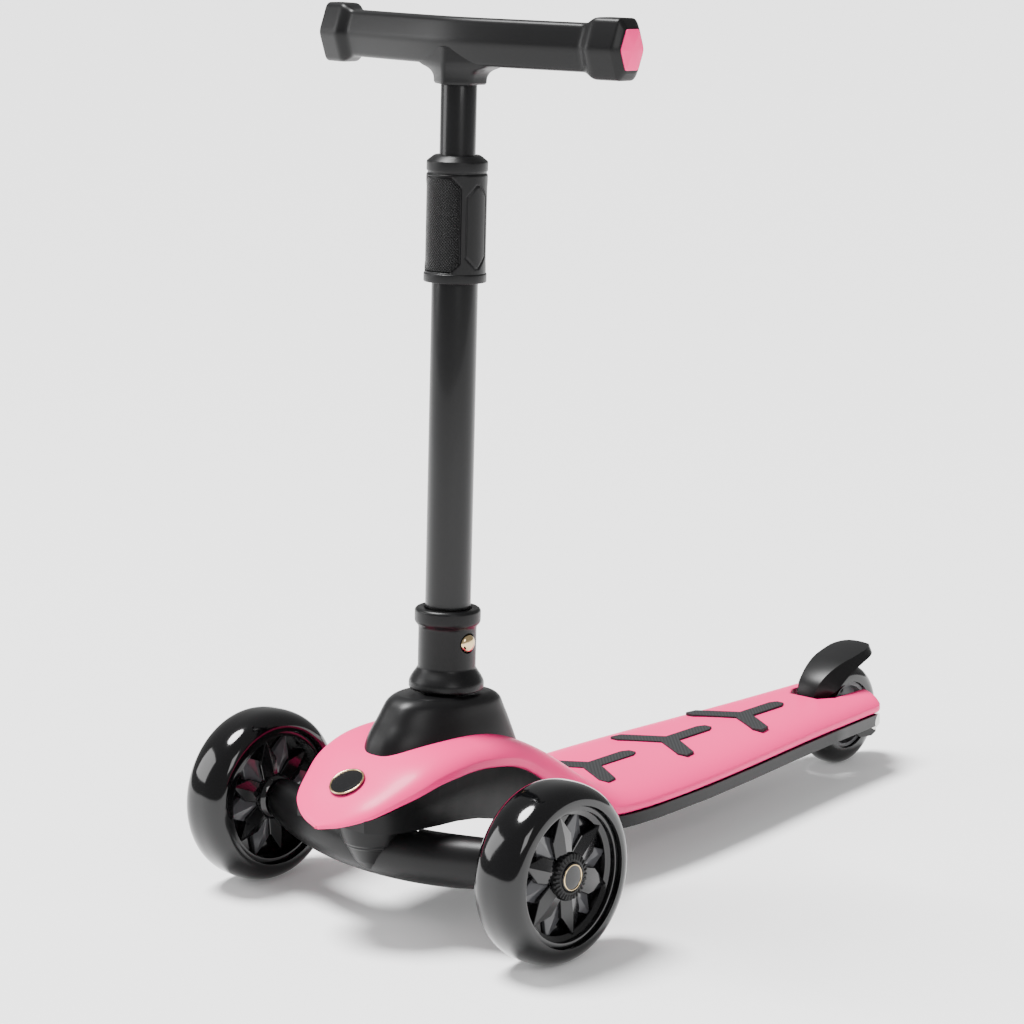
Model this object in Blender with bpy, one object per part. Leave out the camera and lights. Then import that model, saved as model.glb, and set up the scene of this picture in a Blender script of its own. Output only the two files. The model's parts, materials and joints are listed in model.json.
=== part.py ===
"""Child's three-wheel scooter that steers by leaning.

The deck carries a raised nose, a stem housing and a telescoping stem with a swept T handlebar.
Two wheels sit in front on an axle beam that swivels on a raked, spring-centred kingpin, and one
wheel sits behind, in a fork of the deck, under a foot-operated fender brake.

Metres, +Z up, -Y forward, +X to the rider's left.  The origin is on the ground, below the middle
of the whole scooter's length.  The empty named scooter stands on the front axle line, so every
length along Y below is measured from that line.
"""
import math

import bmesh
import bpy
import numpy as np
from mathutils import Matrix, Vector

# ---- overall sizes ------------------------------------------------------------------------
WHEELBASE = 0.487
TRACK = 0.267
GRIP_HEIGHT = 0.580
BAR_WIDTH = 0.264
DECK_TOP_Z = 0.0615
DECK_HALF_WIDTH = 0.0660
DECK_REAR_HALF_WIDTH = 0.0425
NOSE_OVERHANG = 0.079
NOSE_HALF_WIDTH = 0.058
NOSE_RISE = 0.066
STEM_FOOT_RISE = 0.090
STEM_FOOT_Y = 0.0453
STEM_TILT = math.radians(2.6)
FIT = 0.0003

# ---- wheels -------------------------------------------------------------------------------
FRONT_WHEEL_R = 0.060
FRONT_WHEEL_W = 0.039
FRONT_RIM_R = 0.0465
REAR_WHEEL_R = 0.039
REAR_WHEEL_W = 0.024
REAR_RIM_R = 0.0255
BEARING_R = 0.011
BEARING_W = 0.007
AXLE_R = 0.004
NUT_ACROSS_FLATS = 0.013
NUT_H = 0.0058
SPOKES = 5
REAR_SLOTS = 6
WHEEL_SEGMENTS = 24

# ---- cover and chassis --------------------------------------------------------------------
COVER_WALL = 0.003
COVER_SIDE = 0.0155
COVER_STEPS = 12
NOSE_EDGE_DROP = 0.0176
NOSE_SHOULDER = 0.42
DECK_SHOULDER = 0.50
HEEL_Y = 0.166
HOLLOW_SINK = 0.006
TRAY_GAP = 0.0012
TRAY_STEPS = 6
CHASSIS_Z = 0.037
NOSE_INSET = 0.007
RIM_INSET = 0.001
DECK_TAIL = 0.0065
TAIL_ROUND = 0.012
NOTCH_GAP = 0.0045
FORK_PLATE = 0.0105
EYE_R = 0.0135
FORK_BOSS_R = 0.0064
POCKET_FRONT_Y = 0.160
POCKET_COUNT = 4
POCKET_SIDE = 0.007
RIB = 0.004
SCREW_LENGTH = 0.0100
DECK_SKIN = 0.0085

# ---- grip pads and badge ------------------------------------------------------------------
GRIP_SINK = 0.0016
GRIP_RISE = 0.0010
GRIP_STROKE = 0.0125
GRIP_SPAN = 0.043
GRIP_STEM = 0.047
GRIP_ARM = 0.021
GRIP_FIRST_Y = 0.1935
GRIP_TAIL_GAP = 0.029
BADGE_R = 0.0125
BADGE_BACK = 0.029
BADGE_THICKNESS = 0.0018
BADGE_LIFT = 0.0009

# ---- steering -----------------------------------------------------------------------------
BEAM_DROP = 0.0065
BEAM_BOW = 0.020
BEAM_HALF_H = 0.018
BEAM_HALF_D = 0.0165
BEAM_END_R = 0.0138
BEAM_END_GAP = 0.0205
BEAM_SIDES = 14
STUB_R = 0.0078
STUB_GAP = 0.0148
AXLE_SEAT = 0.025
RAKE = math.radians(15.0)
PIVOT_Y = -0.0225
PIVOT_BELOW_AXLE = 0.005
PIN_R = 0.004
BOSS_TOP_R = 0.0255
BOSS_Y = -0.0255
BOSS_RING_R = 0.0205
BOSS_RISE = 0.0165
BUSH_R = 0.0077
BUSH_LOW = -0.0062
BUSH_TOP = 0.0122
POST_R = 0.013
POST_LOW = 0.0185
POST_TOP = 0.0430
SPRING_X = 0.0325
SPRING_R = 0.005
SPRING_WIRE_R = 0.0008
SPRING_CLEARANCE = 0.0020
BOSS_CLEARANCE = 0.003

# ---- brake --------------------------------------------------------------------------------
FENDER_HALF_WIDTH = 0.0195
FENDER_THICKNESS = 0.0035
FENDER_ROLL = 0.0050
FENDER_TAPER = 0.50
BRAKE_PIVOT_BACK = 0.0455
BRAKE_PIVOT_Z = 0.0405
BRAKE_KNUCKLE_R = 0.0042
BRAKE_PIN_R = 0.002
BRAKE_GAP = 0.009

# ---- stem ---------------------------------------------------------------------------------
LOWER_TUBE_R = 0.01535
LOWER_TUBE_WALL = 0.002
UPPER_TUBE_R = 0.0119
UPPER_TUBE_WALL = 0.0015
COLLAR_SWELL = 0.00415
COLLAR_H = 0.055
COLLAR_LIP = 0.0027
COLLAR_FLARE = 0.0058
SOCKET_DEPTH = 0.026
COLLAR_WALL = 0.0036
HOUSING_LEVELS = (-0.056, -0.045, -0.034, -0.025, -0.018, -0.0115, -0.0060, -0.0020)
HOUSING_SIDES = 24
HOUSING_HALF_WIDTH = 0.037
HOUSING_NARROWING = 0.38
HOUSING_TIP = 0.22
HOUSING_TOP_TIP = 0.085
HOLE_FIT = 0.0005
SLEEVE_WALL = 0.00505
SLEEVE_BOTTOM = 0.2735
SLEEVE_H = 0.083
SLEEVE_SEAT = 0.052
UPPER_TUBE_BOTTOM = 0.100
GUIDE_H = 0.028
NECK_DROP = 0.028
BUTTON_R = 0.0062
BUTTON_RISE = 0.033
STEM_SEGMENTS = 20

# ---- handlebar ----------------------------------------------------------------------------
BAR_SWEEP = 0.0215
BAR_FORWARD = 0.0058
GRIP_HALF_H = 0.0155
GRIP_HALF_D = 0.0108
FLARE_HALF_H = 0.0197
FLARE_HALF_D = 0.0158
FLARE_LENGTH = 0.0195
FLARE_SLOPE = 0.012
END_CHAMFER = 0.006
CAP_HALF_H = 0.0132
CAP_HALF_D = 0.0113
CAP_DEPTH = 0.008
SOCKET_DROP = 0.0085
NECK_FRONT = 0.0106
NECK_BACK = 0.0150
CAP_PROUD = 0.0006

# ---- colours: base colour, roughness, metallic ----------------------------------------------
PINK = ((0.95, 0.21, 0.40), 0.38, 0.0)
BLACK = ((0.012, 0.012, 0.013), 0.48, 0.0)
GRIP_BLACK = ((0.022, 0.024, 0.026), 0.85, 0.0)
TYRE_BLACK = ((0.010, 0.010, 0.012), 0.16, 0.0)
SMOKE = ((0.030, 0.032, 0.036), 0.10, 0.0)
STEEL = ((0.62, 0.62, 0.60), 0.28, 1.0)
BRASS = ((0.72, 0.55, 0.30), 0.24, 1.0)
TUBE_BLACK = ((0.014, 0.014, 0.015), 0.34, 0.2)
NYLON = ((0.60, 0.60, 0.57), 0.55, 0.0)
BADGE = ((0.030, 0.030, 0.034), 0.30, 0.0)

# ---- places worked out from the sizes -------------------------------------------------------
AXLE_Z = FRONT_WHEEL_R
TAIL_Y = WHEELBASE + max(REAR_WHEEL_R, DECK_TAIL)
ORIGIN_Y = -(TAIL_Y - NOSE_OVERHANG) / 2.0
DECK_END_Y = WHEELBASE + DECK_TAIL
NOTCH_Y = WHEELBASE - REAR_WHEEL_R - NOTCH_GAP
NOTCH_HALF_WIDTH = FENDER_HALF_WIDTH + 0.001
SLOT_Y = WHEELBASE - BRAKE_PIVOT_BACK - BRAKE_KNUCKLE_R - 0.0015
EDGE_Z = DECK_TOP_Z - COVER_SIDE
STEM_FOOT_Z = AXLE_Z + STEM_FOOT_RISE
BAR_S = (GRIP_HEIGHT - STEM_FOOT_Z) / math.cos(STEM_TILT)
NECK_S = BAR_S - NECK_DROP
PIVOT_Z = AXLE_Z - PIVOT_BELOW_AXLE
POCKET_Z = AXLE_Z + 0.035
COLLAR_R = LOWER_TUBE_R + COLLAR_SWELL
SLEEVE_R = LOWER_TUBE_R + SLEEVE_WALL
LOWER_BORE_R = LOWER_TUBE_R - LOWER_TUBE_WALL
NUT_R = NUT_ACROSS_FLATS / math.sqrt(3.0)
ACROSS = (0, math.pi / 2, 0)
SIDEWAYS = (math.pi / 2, 0, math.pi / 2)


# ---- scene helpers --------------------------------------------------------------------------
def clear_scene():
    for obj in list(bpy.data.objects):
        bpy.data.objects.remove(obj, do_unlink=True)


def material(name, look):
    colour, roughness, metallic = look
    mat = bpy.data.materials.get(name) or bpy.data.materials.new(name)
    mat.use_nodes = True
    shader = mat.node_tree.nodes["Principled BSDF"]
    shader.inputs["Base Color"].default_value = (*colour, 1.0)
    shader.inputs["Roughness"].default_value = roughness
    shader.inputs["Metallic"].default_value = metallic
    mat.diffuse_color = (*colour, 1.0)
    return mat


def place(obj, parent, at, turn):
    bpy.context.scene.collection.objects.link(obj)
    obj.parent = parent
    obj.location = at
    obj.rotation_euler = turn
    return obj


def empty(name, parent=None, at=(0, 0, 0), turn=(0, 0, 0)):
    obj = bpy.data.objects.new(name, None)
    obj.empty_display_size = 0.02
    return place(obj, parent, at, turn)


def solid(name, bm, look, parent, at=(0, 0, 0), turn=(0, 0, 0), sharp=35.0):
    """Finish a bmesh as a named object with its own material and smooth faces."""
    bmesh.ops.remove_doubles(bm, verts=bm.verts, dist=1e-6)
    bmesh.ops.recalc_face_normals(bm, faces=bm.faces)
    mesh = bpy.data.meshes.new(name)
    bm.to_mesh(mesh)
    bm.free()
    mesh.materials.append(material(name + "_material", look))
    mesh.shade_smooth()
    mesh.set_sharp_from_angle(angle=math.radians(sharp))
    return place(bpy.data.objects.new(name, mesh), parent, at, turn)


def cutter(name, bm, parent, at=(0, 0, 0), turn=(0, 0, 0)):
    obj = solid(name, bm, BLACK, parent, at, turn)
    obj.hide_render = True
    obj.display_type = "WIRE"
    return obj


def combine(obj, other, operation="DIFFERENCE"):
    mod = obj.modifiers.new(operation.title() + "_" + other.name, "BOOLEAN")
    mod.operation = operation
    mod.solver = "EXACT"
    mod.object = other


# ---- shape helpers --------------------------------------------------------------------------
def curve_through(points, where):
    """Smooth values at the places where, through points of (place, value), without overshoot."""
    places, values = np.array(points, dtype=float).T
    steps = np.diff(places)
    slopes = np.diff(values) / steps
    same_way = slopes[:-1] * slopes[1:] > 0
    total = np.where(same_way, slopes[:-1] + slopes[1:], 1.0)
    inner = np.where(same_way, 2.0 * slopes[:-1] * slopes[1:] / total, 0.0)
    tangents = np.concatenate([[slopes[0]], inner, [slopes[-1]]])
    where = np.clip(np.asarray(where, dtype=float), places[0], places[-1])
    cell = np.clip(np.searchsorted(places, where, side="right") - 1, 0, len(steps) - 1)
    t = (where - places[cell]) / steps[cell]
    start = (1 + 2 * t) * (1 - t) ** 2 * values[cell] + t * (1 - t) ** 2 * steps[cell] * tangents[cell]
    end = t * t * (3 - 2 * t) * values[cell + 1]
    return start + end + t * t * (t - 1) * steps[cell] * tangents[cell + 1]


def loft(loops):
    """Closed body through loops with the same number of points, capped at both ends."""
    bm = bmesh.new()
    rings = [[bm.verts.new(point) for point in loop] for loop in loops]
    count = len(rings[0])
    for ring, following in zip(rings, rings[1:]):
        for i in range(count):
            j = (i + 1) % count
            bm.faces.new((ring[i], ring[j], following[j], following[i]))
    bm.faces.new(list(reversed(rings[0])))
    bm.faces.new(rings[-1])
    return bm


def prism(outline, low, high):
    """Extrude an outline in XY from the height low to the height high."""
    bm = bmesh.new()
    base = bm.faces.new([bm.verts.new((x, y, low)) for x, y in outline])
    moved = bmesh.ops.extrude_face_region(bm, geom=[base])["geom"]
    tops = [v for v in moved if isinstance(v, bmesh.types.BMVert)]
    bmesh.ops.translate(bm, vec=(0, 0, high - low), verts=tops)
    return bm


def turned(profile, segments):
    """Body of revolution about Z of a closed profile of (radius, height) points."""
    bm = bmesh.new()
    verts = [bm.verts.new((r, 0, z)) for r, z in profile]
    edges = [bm.edges.new((a, b)) for a, b in zip(verts, verts[1:] + verts[:1])]
    bmesh.ops.spin(bm, geom=verts + edges, cent=(0, 0, 0), axis=(0, 0, 1), dvec=(0, 0, 0),
                   angle=2 * math.pi, steps=segments, use_merge=True, use_duplicate=False)
    flat = [e for e in bm.edges if e.calc_length() < 1e-9]
    bmesh.ops.dissolve_degenerate(bm, dist=1e-7, edges=flat)
    return bm


def ring(inner, outer, low, high, segments=STEM_SEGMENTS):
    return turned([(inner, low), (outer, low), (outer, high), (inner, high)], segments)


def rod(radius, low, high, segments=16):
    bm = bmesh.new()
    bmesh.ops.create_cone(bm, cap_ends=True, segments=segments, radius1=radius, radius2=radius,
                          depth=high - low, matrix=Matrix.Translation((0, 0, (low + high) / 2)))
    return bm


def block(low, high):
    bm = bmesh.new()
    bmesh.ops.create_cube(bm, size=1.0)
    size = Vector(high) - Vector(low)
    bmesh.ops.scale(bm, vec=size, verts=bm.verts)
    bmesh.ops.translate(bm, vec=(Vector(high) + Vector(low)) / 2, verts=bm.verts)
    return bm


def joined(*parts):
    """Several closed shapes in one bmesh, for a cutter made of separate pieces."""
    whole = bmesh.new()
    for part in parts:
        mesh = bpy.data.meshes.new("joined")
        part.to_mesh(mesh)
        part.free()
        whole.from_mesh(mesh)
        bpy.data.meshes.remove(mesh)
    return whole


def polygon(radius, sides, phase=0.0):
    step = 2 * math.pi / sides
    return [(radius * math.cos(phase + i * step), radius * math.sin(phase + i * step)) for i in range(sides)]


def nut(name, look, parent, low, high, bore, turn=(0, 0, 0), at=(0, 0, 0)):
    body = solid(name, prism(polygon(NUT_R, 6), low, high), look, parent, at, turn)
    hole = cutter(name + "_bore_cutter", rod(bore, low - 0.002, high + 0.002, 12), parent, at, turn)
    combine(body, hole)
    return body


def coil(name, parent, radius, wire, length, turns, at, turn=(0, 0, 0)):
    """Compression spring along Z: a wire on a helix that starts at the given place."""
    steps = turns * 6
    data = bpy.data.curves.new(name, "CURVE")
    data.dimensions = "3D"
    data.bevel_depth = wire
    data.bevel_resolution = 0
    data.use_fill_caps = True
    spline = data.splines.new("POLY")
    spline.points.add(steps)
    for i, point in enumerate(spline.points):
        angle = 2 * math.pi * turns * i / steps
        height = wire + (length - 2 * wire) * i / steps
        point.co = (radius * math.cos(angle), radius * math.sin(angle), height, 1.0)
    data.materials.append(material(name + "_material", STEEL))
    return place(bpy.data.objects.new(name, data), parent, at, turn)


# ---- cover and chassis ------------------------------------------------------------------------
def hull_values(y):
    """Half width, height of the top on the centre line and height of the side edge at y."""
    nose_top = AXLE_Z + NOSE_RISE
    nose_edge = nose_top - NOSE_EDGE_DROP
    tip = -NOSE_OVERHANG
    taper = DECK_END_Y - TAIL_ROUND
    width = curve_through(((tip, 0.006), (tip + 0.004, 0.0185), (tip + 0.009, 0.0275), (tip + 0.017, 0.0362),
                           (tip + 0.034, NOSE_HALF_WIDTH - 0.0122), (tip + 0.054, NOSE_HALF_WIDTH - 0.0040),
                           (0.005, NOSE_HALF_WIDTH), (0.030, NOSE_HALF_WIDTH), (0.080,
                                                                                NOSE_HALF_WIDTH - 0.0038),
                           (0.120, NOSE_HALF_WIDTH - 0.0030), (HEEL_Y, DECK_HALF_WIDTH - 0.0015),
                           (HEEL_Y + 0.029, DECK_HALF_WIDTH), (taper - 0.060, DECK_REAR_HALF_WIDTH + 0.0045),
                           (taper, DECK_REAR_HALF_WIDTH)), y)
    past = np.clip((np.asarray(y) - taper) / TAIL_ROUND, 0.0, 1.0)
    width = width - (DECK_REAR_HALF_WIDTH - NOTCH_HALF_WIDTH) * 0.45 * (1 - np.sqrt(1 - past ** 2))
    top = curve_through(((tip, nose_top - 0.0425), (tip + 0.007, nose_top - 0.0365),
                         (tip + 0.019, nose_top - 0.0275), (tip + 0.034, nose_top - 0.0190),
                         (tip + 0.054, nose_top - 0.0080), (0.0, nose_top - 0.0015),
                         (0.022, nose_top), (0.050, nose_top - 0.0030), (0.082, nose_top - 0.0140),
                         (0.1166, AXLE_Z + 0.0332), (0.1426, DECK_TOP_Z + 0.0125),
                         (HEEL_Y - 0.010, DECK_TOP_Z + 0.0030), (HEEL_Y, DECK_TOP_Z + 0.0006),
                         (HEEL_Y + 0.018, DECK_TOP_Z), (DECK_END_Y, DECK_TOP_Z - 0.0008)), y)
    edge = curve_through(((tip, nose_edge - 0.0240), (tip + 0.009, nose_edge - 0.0211),
                          (tip + 0.025, nose_edge - 0.0162), (tip + 0.044, nose_edge - 0.0094),
                          (tip + 0.064, nose_edge - 0.0028), (0.015, nose_edge), (0.046, nose_edge - 0.0040),
                          (0.069, nose_edge - 0.0116), (0.083, nose_edge - 0.0208), (0.105, EDGE_Z + 0.0255),
                          (0.125, EDGE_Z + 0.0105), (0.147, EDGE_Z + 0.0007), (HEEL_Y, EDGE_Z),
                          (DECK_END_Y, EDGE_Z)), y)
    return width, top, edge


def crown(width, top, edge, y, steps=COVER_STEPS, cut=None):
    """Points of one crowned section, a flat-topped superellipse that meets its edges upright.

    With a cut, only the part above that height is kept."""
    shoulder = float(curve_through(((0.080, NOSE_SHOULDER), (HEEL_Y, DECK_SHOULDER)), y))
    reach = math.pi / 2 if cut is None else math.acos((cut - edge) / (top - edge))
    angles = np.linspace(-reach, reach, steps + 1)
    lateral = width * np.sign(np.sin(angles)) * np.abs(np.sin(angles)) ** shoulder
    height = edge + (top - edge) * np.cos(angles)
    return [(x, y, z) for x, z in zip(lateral, height)]


def hull_stations(front, back):
    tip = -NOSE_OVERHANG
    nose = [tip + step for step in (0.0, 0.003, 0.008, 0.015, 0.024, 0.036, 0.050, 0.064)]
    arch = [0.0, 0.020, 0.040, 0.058, 0.074, 0.088, 0.101, 0.114, 0.127, 0.141, HEEL_Y - 0.011,
            HEEL_Y + 0.002]
    deck = list(np.linspace(HEEL_Y + 0.024, DECK_END_Y - TAIL_ROUND, 6))
    tail = [DECK_END_Y - TAIL_ROUND * (1 - math.sin(a)) for a in np.radians([35, 65, 90])]
    inside = [y for y in nose + arch + deck + tail if front + 0.001 < y < back - 0.001]
    return [front] + inside + [back]


def crown_loops(front, back, inset, sink):
    """Loops of the cover's outer form, moved inward by inset, with the edge lowered by sink."""
    loops = []
    for y in hull_stations(front, back):
        width, top, edge = hull_values(y)
        half = max(width - inset, 0.0012)
        high = max(top - inset, edge - sink + 0.0012)
        loops.append(crown(half, high, edge - sink, y))
    return loops


def notch_outline(half_width, front):
    """Slot around the rear wheel, open to the rear, with its front corners rounded."""
    radius = half_width * 0.2
    corner = [(radius * math.cos(a), radius * math.sin(a)) for a in np.radians([180, 225, 270])]
    left = [(-half_width + radius + x, front + radius + y) for x, y in corner]
    right = [(-x, y) for x, y in reversed(left)]
    return left + right + [(half_width, DECK_END_Y + 0.05), (-half_width, DECK_END_Y + 0.05)]


def housing_values(s):
    """Front, back and half width of the stem housing at height s from the stem's foot."""
    front = curve_through(((-0.060, -0.0285), (-0.034, -0.0220), (-0.012, -0.0085), (0.002, 0.0035)), s)
    back = curve_through(((-0.060, 0.1080), (-0.040, 0.0985), (-0.014, 0.0865), (0.002, 0.0800)), s)
    half = curve_through(((-0.060, HOUSING_HALF_WIDTH), (-0.030, HOUSING_HALF_WIDTH - 0.0040),
                          (-0.012, HOUSING_HALF_WIDTH - 0.0085), (0.002, HOUSING_HALF_WIDTH - 0.0115)), s)
    return float(front), float(back), float(half)


def power(value, exponent):
    return math.copysign(abs(value) ** exponent, value)


def housing_loop(s, grow=0.0):
    """Rounded outline of the housing at height s, narrower in front, on a plane that tips with s."""
    front, back, half = housing_values(s)
    centre = (front + back) / 2
    reach = (back - front) / 2 + grow
    depth = float(np.clip((HOUSING_LEVELS[-4] - s) / 0.040, 0.0, 1.0))
    tip = HOUSING_TOP_TIP + (HOUSING_TIP - HOUSING_TOP_TIP) * depth
    points = []
    for i in range(HOUSING_SIDES):
        angle = 2 * math.pi * (i + 0.5) / HOUSING_SIDES
        along = power(math.sin(angle), 0.62)
        x = (half + grow) * power(math.cos(angle), 0.62) * (1.0 - HOUSING_NARROWING * min(along, 0.0) ** 2)
        points.append((x, centre + reach * along, STEM_FOOT_Z + s - tip * reach * along))
    return points


def housing_opening(scooter, name):
    """Cutter for the hole that the housing stands in, a fit larger all round and deeper by a fit."""
    loops = [housing_loop(s, HOLE_FIT) for s in HOUSING_LEVELS]
    floor = [(x, y, z - FIT) for x, y, z in loops[0]]
    return cutter(name, loft([floor] + loops[1:]), scooter)


def build_cover(scooter):
    tip = -NOSE_OVERHANG
    body = solid("deck_cover", loft(crown_loops(tip, DECK_END_Y, 0.0, 0.0)), PINK, scooter)
    hollow = cutter("cover_hollow_cutter", loft(crown_loops(tip + 0.010, DECK_END_Y - COVER_WALL,
                                                            COVER_WALL, HOLLOW_SINK)), scooter)
    lips = prism(notch_outline(NOTCH_HALF_WIDTH + COVER_WALL, NOTCH_Y - COVER_WALL), 0.0, 0.1)
    combine(hollow, cutter("cover_lip_cutter", lips, scooter))
    combine(body, hollow)
    notch = prism(notch_outline(NOTCH_HALF_WIDTH, NOTCH_Y), 0.0, 0.1)
    combine(body, cutter("cover_notch_cutter", notch, scooter))
    combine(body, housing_opening(scooter, "cover_stem_cutter"))
    for name, centre in grip_places():
        pocket = grip_plate(FIT, -GRIP_SINK - FIT, 0.02)
        combine(body, cutter(name + "_pocket_cutter", pocket, scooter, (0, centre, DECK_TOP_Z)))
    return body


def chassis_section(y):
    width, top, edge = hull_values(y)
    tip = -NOSE_OVERHANG
    under = AXLE_Z + 0.0155
    bottom = float(curve_through(((tip, edge_at(tip) - 0.0018), (tip + 0.034, under + 0.002),
                                  (0.006, under + 0.0015), (0.030, under - 0.004), (0.050, under - 0.0095),
                                  (0.080, CHASSIS_Z + 0.0175), (0.110, CHASSIS_Z + 0.0060),
                                  (0.130, CHASSIS_Z + 0.0005), (0.150, CHASSIS_Z), (DECK_END_Y,
                                                                                    CHASSIS_Z)), y))
    inset = float(curve_through(((tip, RIM_INSET), (tip + 0.030, RIM_INSET + 0.001), (tip + 0.050,
                                                                                      NOSE_INSET),
                                 (0.110, NOSE_INSET), (0.150, RIM_INSET), (DECK_END_Y, RIM_INSET)), y))
    lip = edge - FIT
    inner = max(width - COVER_WALL - TRAY_GAP, 0.0008)
    high = max(top - COVER_WALL - TRAY_GAP, lip + 0.0006)
    upper = crown(inner, high, edge - HOLLOW_SINK, y, TRAY_STEPS, lip)
    half = max(width - inset, 0.0010)
    lower = [(half, y, lip), (half, y, bottom), (-half, y, bottom), (-half, y, lip)]
    return upper + lower


def edge_at(y):
    return float(hull_values(y)[2])


def build_chassis(scooter):
    """Black tray under the cover, hollowed from below, with the nose pocket and the rear fork."""
    front = -NOSE_OVERHANG + 0.0125
    back = DECK_END_Y - COVER_WALL - 2 * FIT
    stations = hull_stations(front, back)
    body = solid("chassis", loft([chassis_section(y) for y in stations]), BLACK, scooter)
    lift = prism(notch_outline(NOTCH_HALF_WIDTH + COVER_WALL + 2 * FIT, NOTCH_Y - COVER_WALL - 2 * FIT),
                 EDGE_Z - FIT, 0.1)
    slot = prism(notch_outline(NOTCH_HALF_WIDTH, SLOT_Y), 0.0, EDGE_Z)
    combine(body, cutter("chassis_lift_cutter", lift, scooter))
    combine(body, cutter("chassis_slot_cutter", slot, scooter))
    combine(body, housing_opening(scooter, "chassis_stem_cutter"))
    for piece in rear_brackets(scooter):
        combine(body, piece, "UNION")
    combine(body, cutter("deck_rib_cutter", underside_pockets(), scooter))
    boss_room = rod(BOSS_TOP_R + BOSS_CLEARANCE, 0.02, POCKET_Z, 24)
    combine(body, cutter("nose_pocket_cutter", boss_room, scooter, (0, BOSS_Y, 0)))
    side = SPRING_X + SPRING_R + SPRING_CLEARANCE
    depth = SPRING_R + SPRING_CLEARANCE
    spring_room = block((-side, PIVOT_Y - depth, 0.02), (side, PIVOT_Y + depth, POCKET_Z - FIT))
    combine(body, cutter("spring_pocket_cutter", spring_room, scooter))
    return body


def underside_pockets():
    """Row of rectangular recesses that leave cross ribs and a centre rib under the deck."""
    pockets = []
    pitch = (NOTCH_Y - 0.012 - POCKET_FRONT_Y) / POCKET_COUNT
    for i in range(POCKET_COUNT):
        low = POCKET_FRONT_Y + i * pitch
        high = low + pitch - RIB
        half = float(hull_values(high)[0]) - POCKET_SIDE
        for side in (-1, 1):
            x = sorted((side * RIB / 2, side * half))
            pockets.append(block((x[0], low, CHASSIS_Z - 0.01), (x[1], high, DECK_TOP_Z - DECK_SKIN)))
    neck = ((0.014, 0.044, 0.0300), (0.048, 0.078, 0.0225), (0.082, 0.114, 0.0150))
    for low, high, rise in neck:
        half = float(hull_values(low)[0]) - NOSE_INSET - COVER_WALL
        for side in (-1, 1):
            x = sorted((side * RIB / 2, side * half))
            pockets.append(block((x[0], low, CHASSIS_Z - 0.01), (x[1], high, AXLE_Z + rise)))
    return joined(*pockets)


def rear_brackets(scooter):
    """Two plates that drop from the fork to the rear axle, each with an inner boss."""
    pieces = []
    web_z = EDGE_Z - 0.004
    eye = [(EYE_R * math.sin(a), REAR_WHEEL_R - EYE_R * math.cos(a)) for a in np.radians([-20, 10, 35])]
    outline = [(-0.034, web_z), (-0.012, REAR_WHEEL_R - 0.0115)] + eye + [(0.0050, web_z)]
    for side, label in ((1, "left"), (-1, "right")):
        low, high = sorted((side * NOTCH_HALF_WIDTH, side * (NOTCH_HALF_WIDTH + FORK_PLATE)))
        plate = prism(outline, low, high)
        pieces.append(cutter("fork_plate_" + label, plate, scooter, (0, WHEELBASE, 0), SIDEWAYS))
        low, high = sorted((side * (REAR_WHEEL_W / 2 + 0.0005), side * (NOTCH_HALF_WIDTH + 0.003)))
        boss = rod(FORK_BOSS_R, low, high)
        pieces.append(cutter("fork_boss_" + label, boss, scooter, (0, WHEELBASE, REAR_WHEEL_R), ACROSS))
    return pieces


# ---- grip pads and badge ------------------------------------------------------------------------
def grip_places():
    """Name and crotch position along Y of the three Y-shaped pads, evenly spaced."""
    pitch = (NOTCH_Y - GRIP_TAIL_GAP - GRIP_STEM - GRIP_FIRST_Y) / 2.0
    names = ("grip_pad_front", "grip_pad_middle", "grip_pad_rear")
    return [(name, GRIP_FIRST_Y + i * pitch) for i, name in enumerate(names)]


def grip_plate(grow, low, high):
    """Y-shaped plate: a stem to the rear and two arms that spread forward, with chamfered ends."""
    half = GRIP_STROKE / 2 + grow
    spread = math.atan2(GRIP_SPAN - GRIP_STROKE / 2, GRIP_ARM)
    along = Vector((math.sin(spread), -math.cos(spread)))
    across = Vector((math.cos(spread), math.sin(spread)))
    tip = along * (GRIP_ARM / math.cos(spread) - GRIP_STROKE / 2 + grow)
    shoulder = half * math.tan((math.pi - spread) / 2 - math.pi / 4) + half * 0.55
    stem = [(half * 0.5, GRIP_STEM + grow), (half, GRIP_STEM - half + grow), (half, shoulder)]
    arm = [tip + across * half, tip - across * half * 0.2 + along * half, tip - across * half]
    crotch = (0.0, -half / math.sin(spread))
    side = stem + [tuple(point) for point in arm]
    mirror = [(-x, y) for x, y in reversed(side)]
    return prism(side + [crotch] + mirror, low, high)


def build_grips(scooter):
    for name, centre in grip_places():
        solid(name, grip_plate(0.0, -GRIP_SINK, GRIP_RISE), GRIP_BLACK, scooter,
              (0, centre, DECK_TOP_Z), sharp=20.0)


def build_badge(scooter):
    """Plain round badge that lies on the slope of the nose."""
    y = -NOSE_OVERHANG + BADGE_BACK
    step = 0.004
    low, high = (float(hull_values(v)[1]) for v in (y - step, y + step))
    slope = math.atan2(high - low, 2 * step)
    middle = float(hull_values(y)[1])
    at = (0, y - BADGE_LIFT * math.sin(slope), middle + BADGE_LIFT * math.cos(slope))
    profile = [(0.0, 0.0), (BADGE_R, 0.0), (BADGE_R, BADGE_THICKNESS / 2), (BADGE_R - 0.001, BADGE_THICKNESS),
               (0.0, BADGE_THICKNESS)]
    solid("nose_badge", turned(profile, 24), BADGE, scooter, at, (slope, 0, 0))


# ---- stem -----------------------------------------------------------------------------------------
def build_housing(scooter, stem):
    """Housing that stands through the cover on the tray, bored for the collar's shank."""
    body = solid("stem_housing", loft([housing_loop(s) for s in HOUSING_LEVELS]), BLACK, scooter, sharp=50.0)
    bore = rod(LOWER_TUBE_R + COLLAR_WALL + FIT, -SOCKET_DEPTH - FIT, 0.03, STEM_SEGMENTS)
    combine(body, cutter("housing_bore_cutter", bore, stem))


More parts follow.
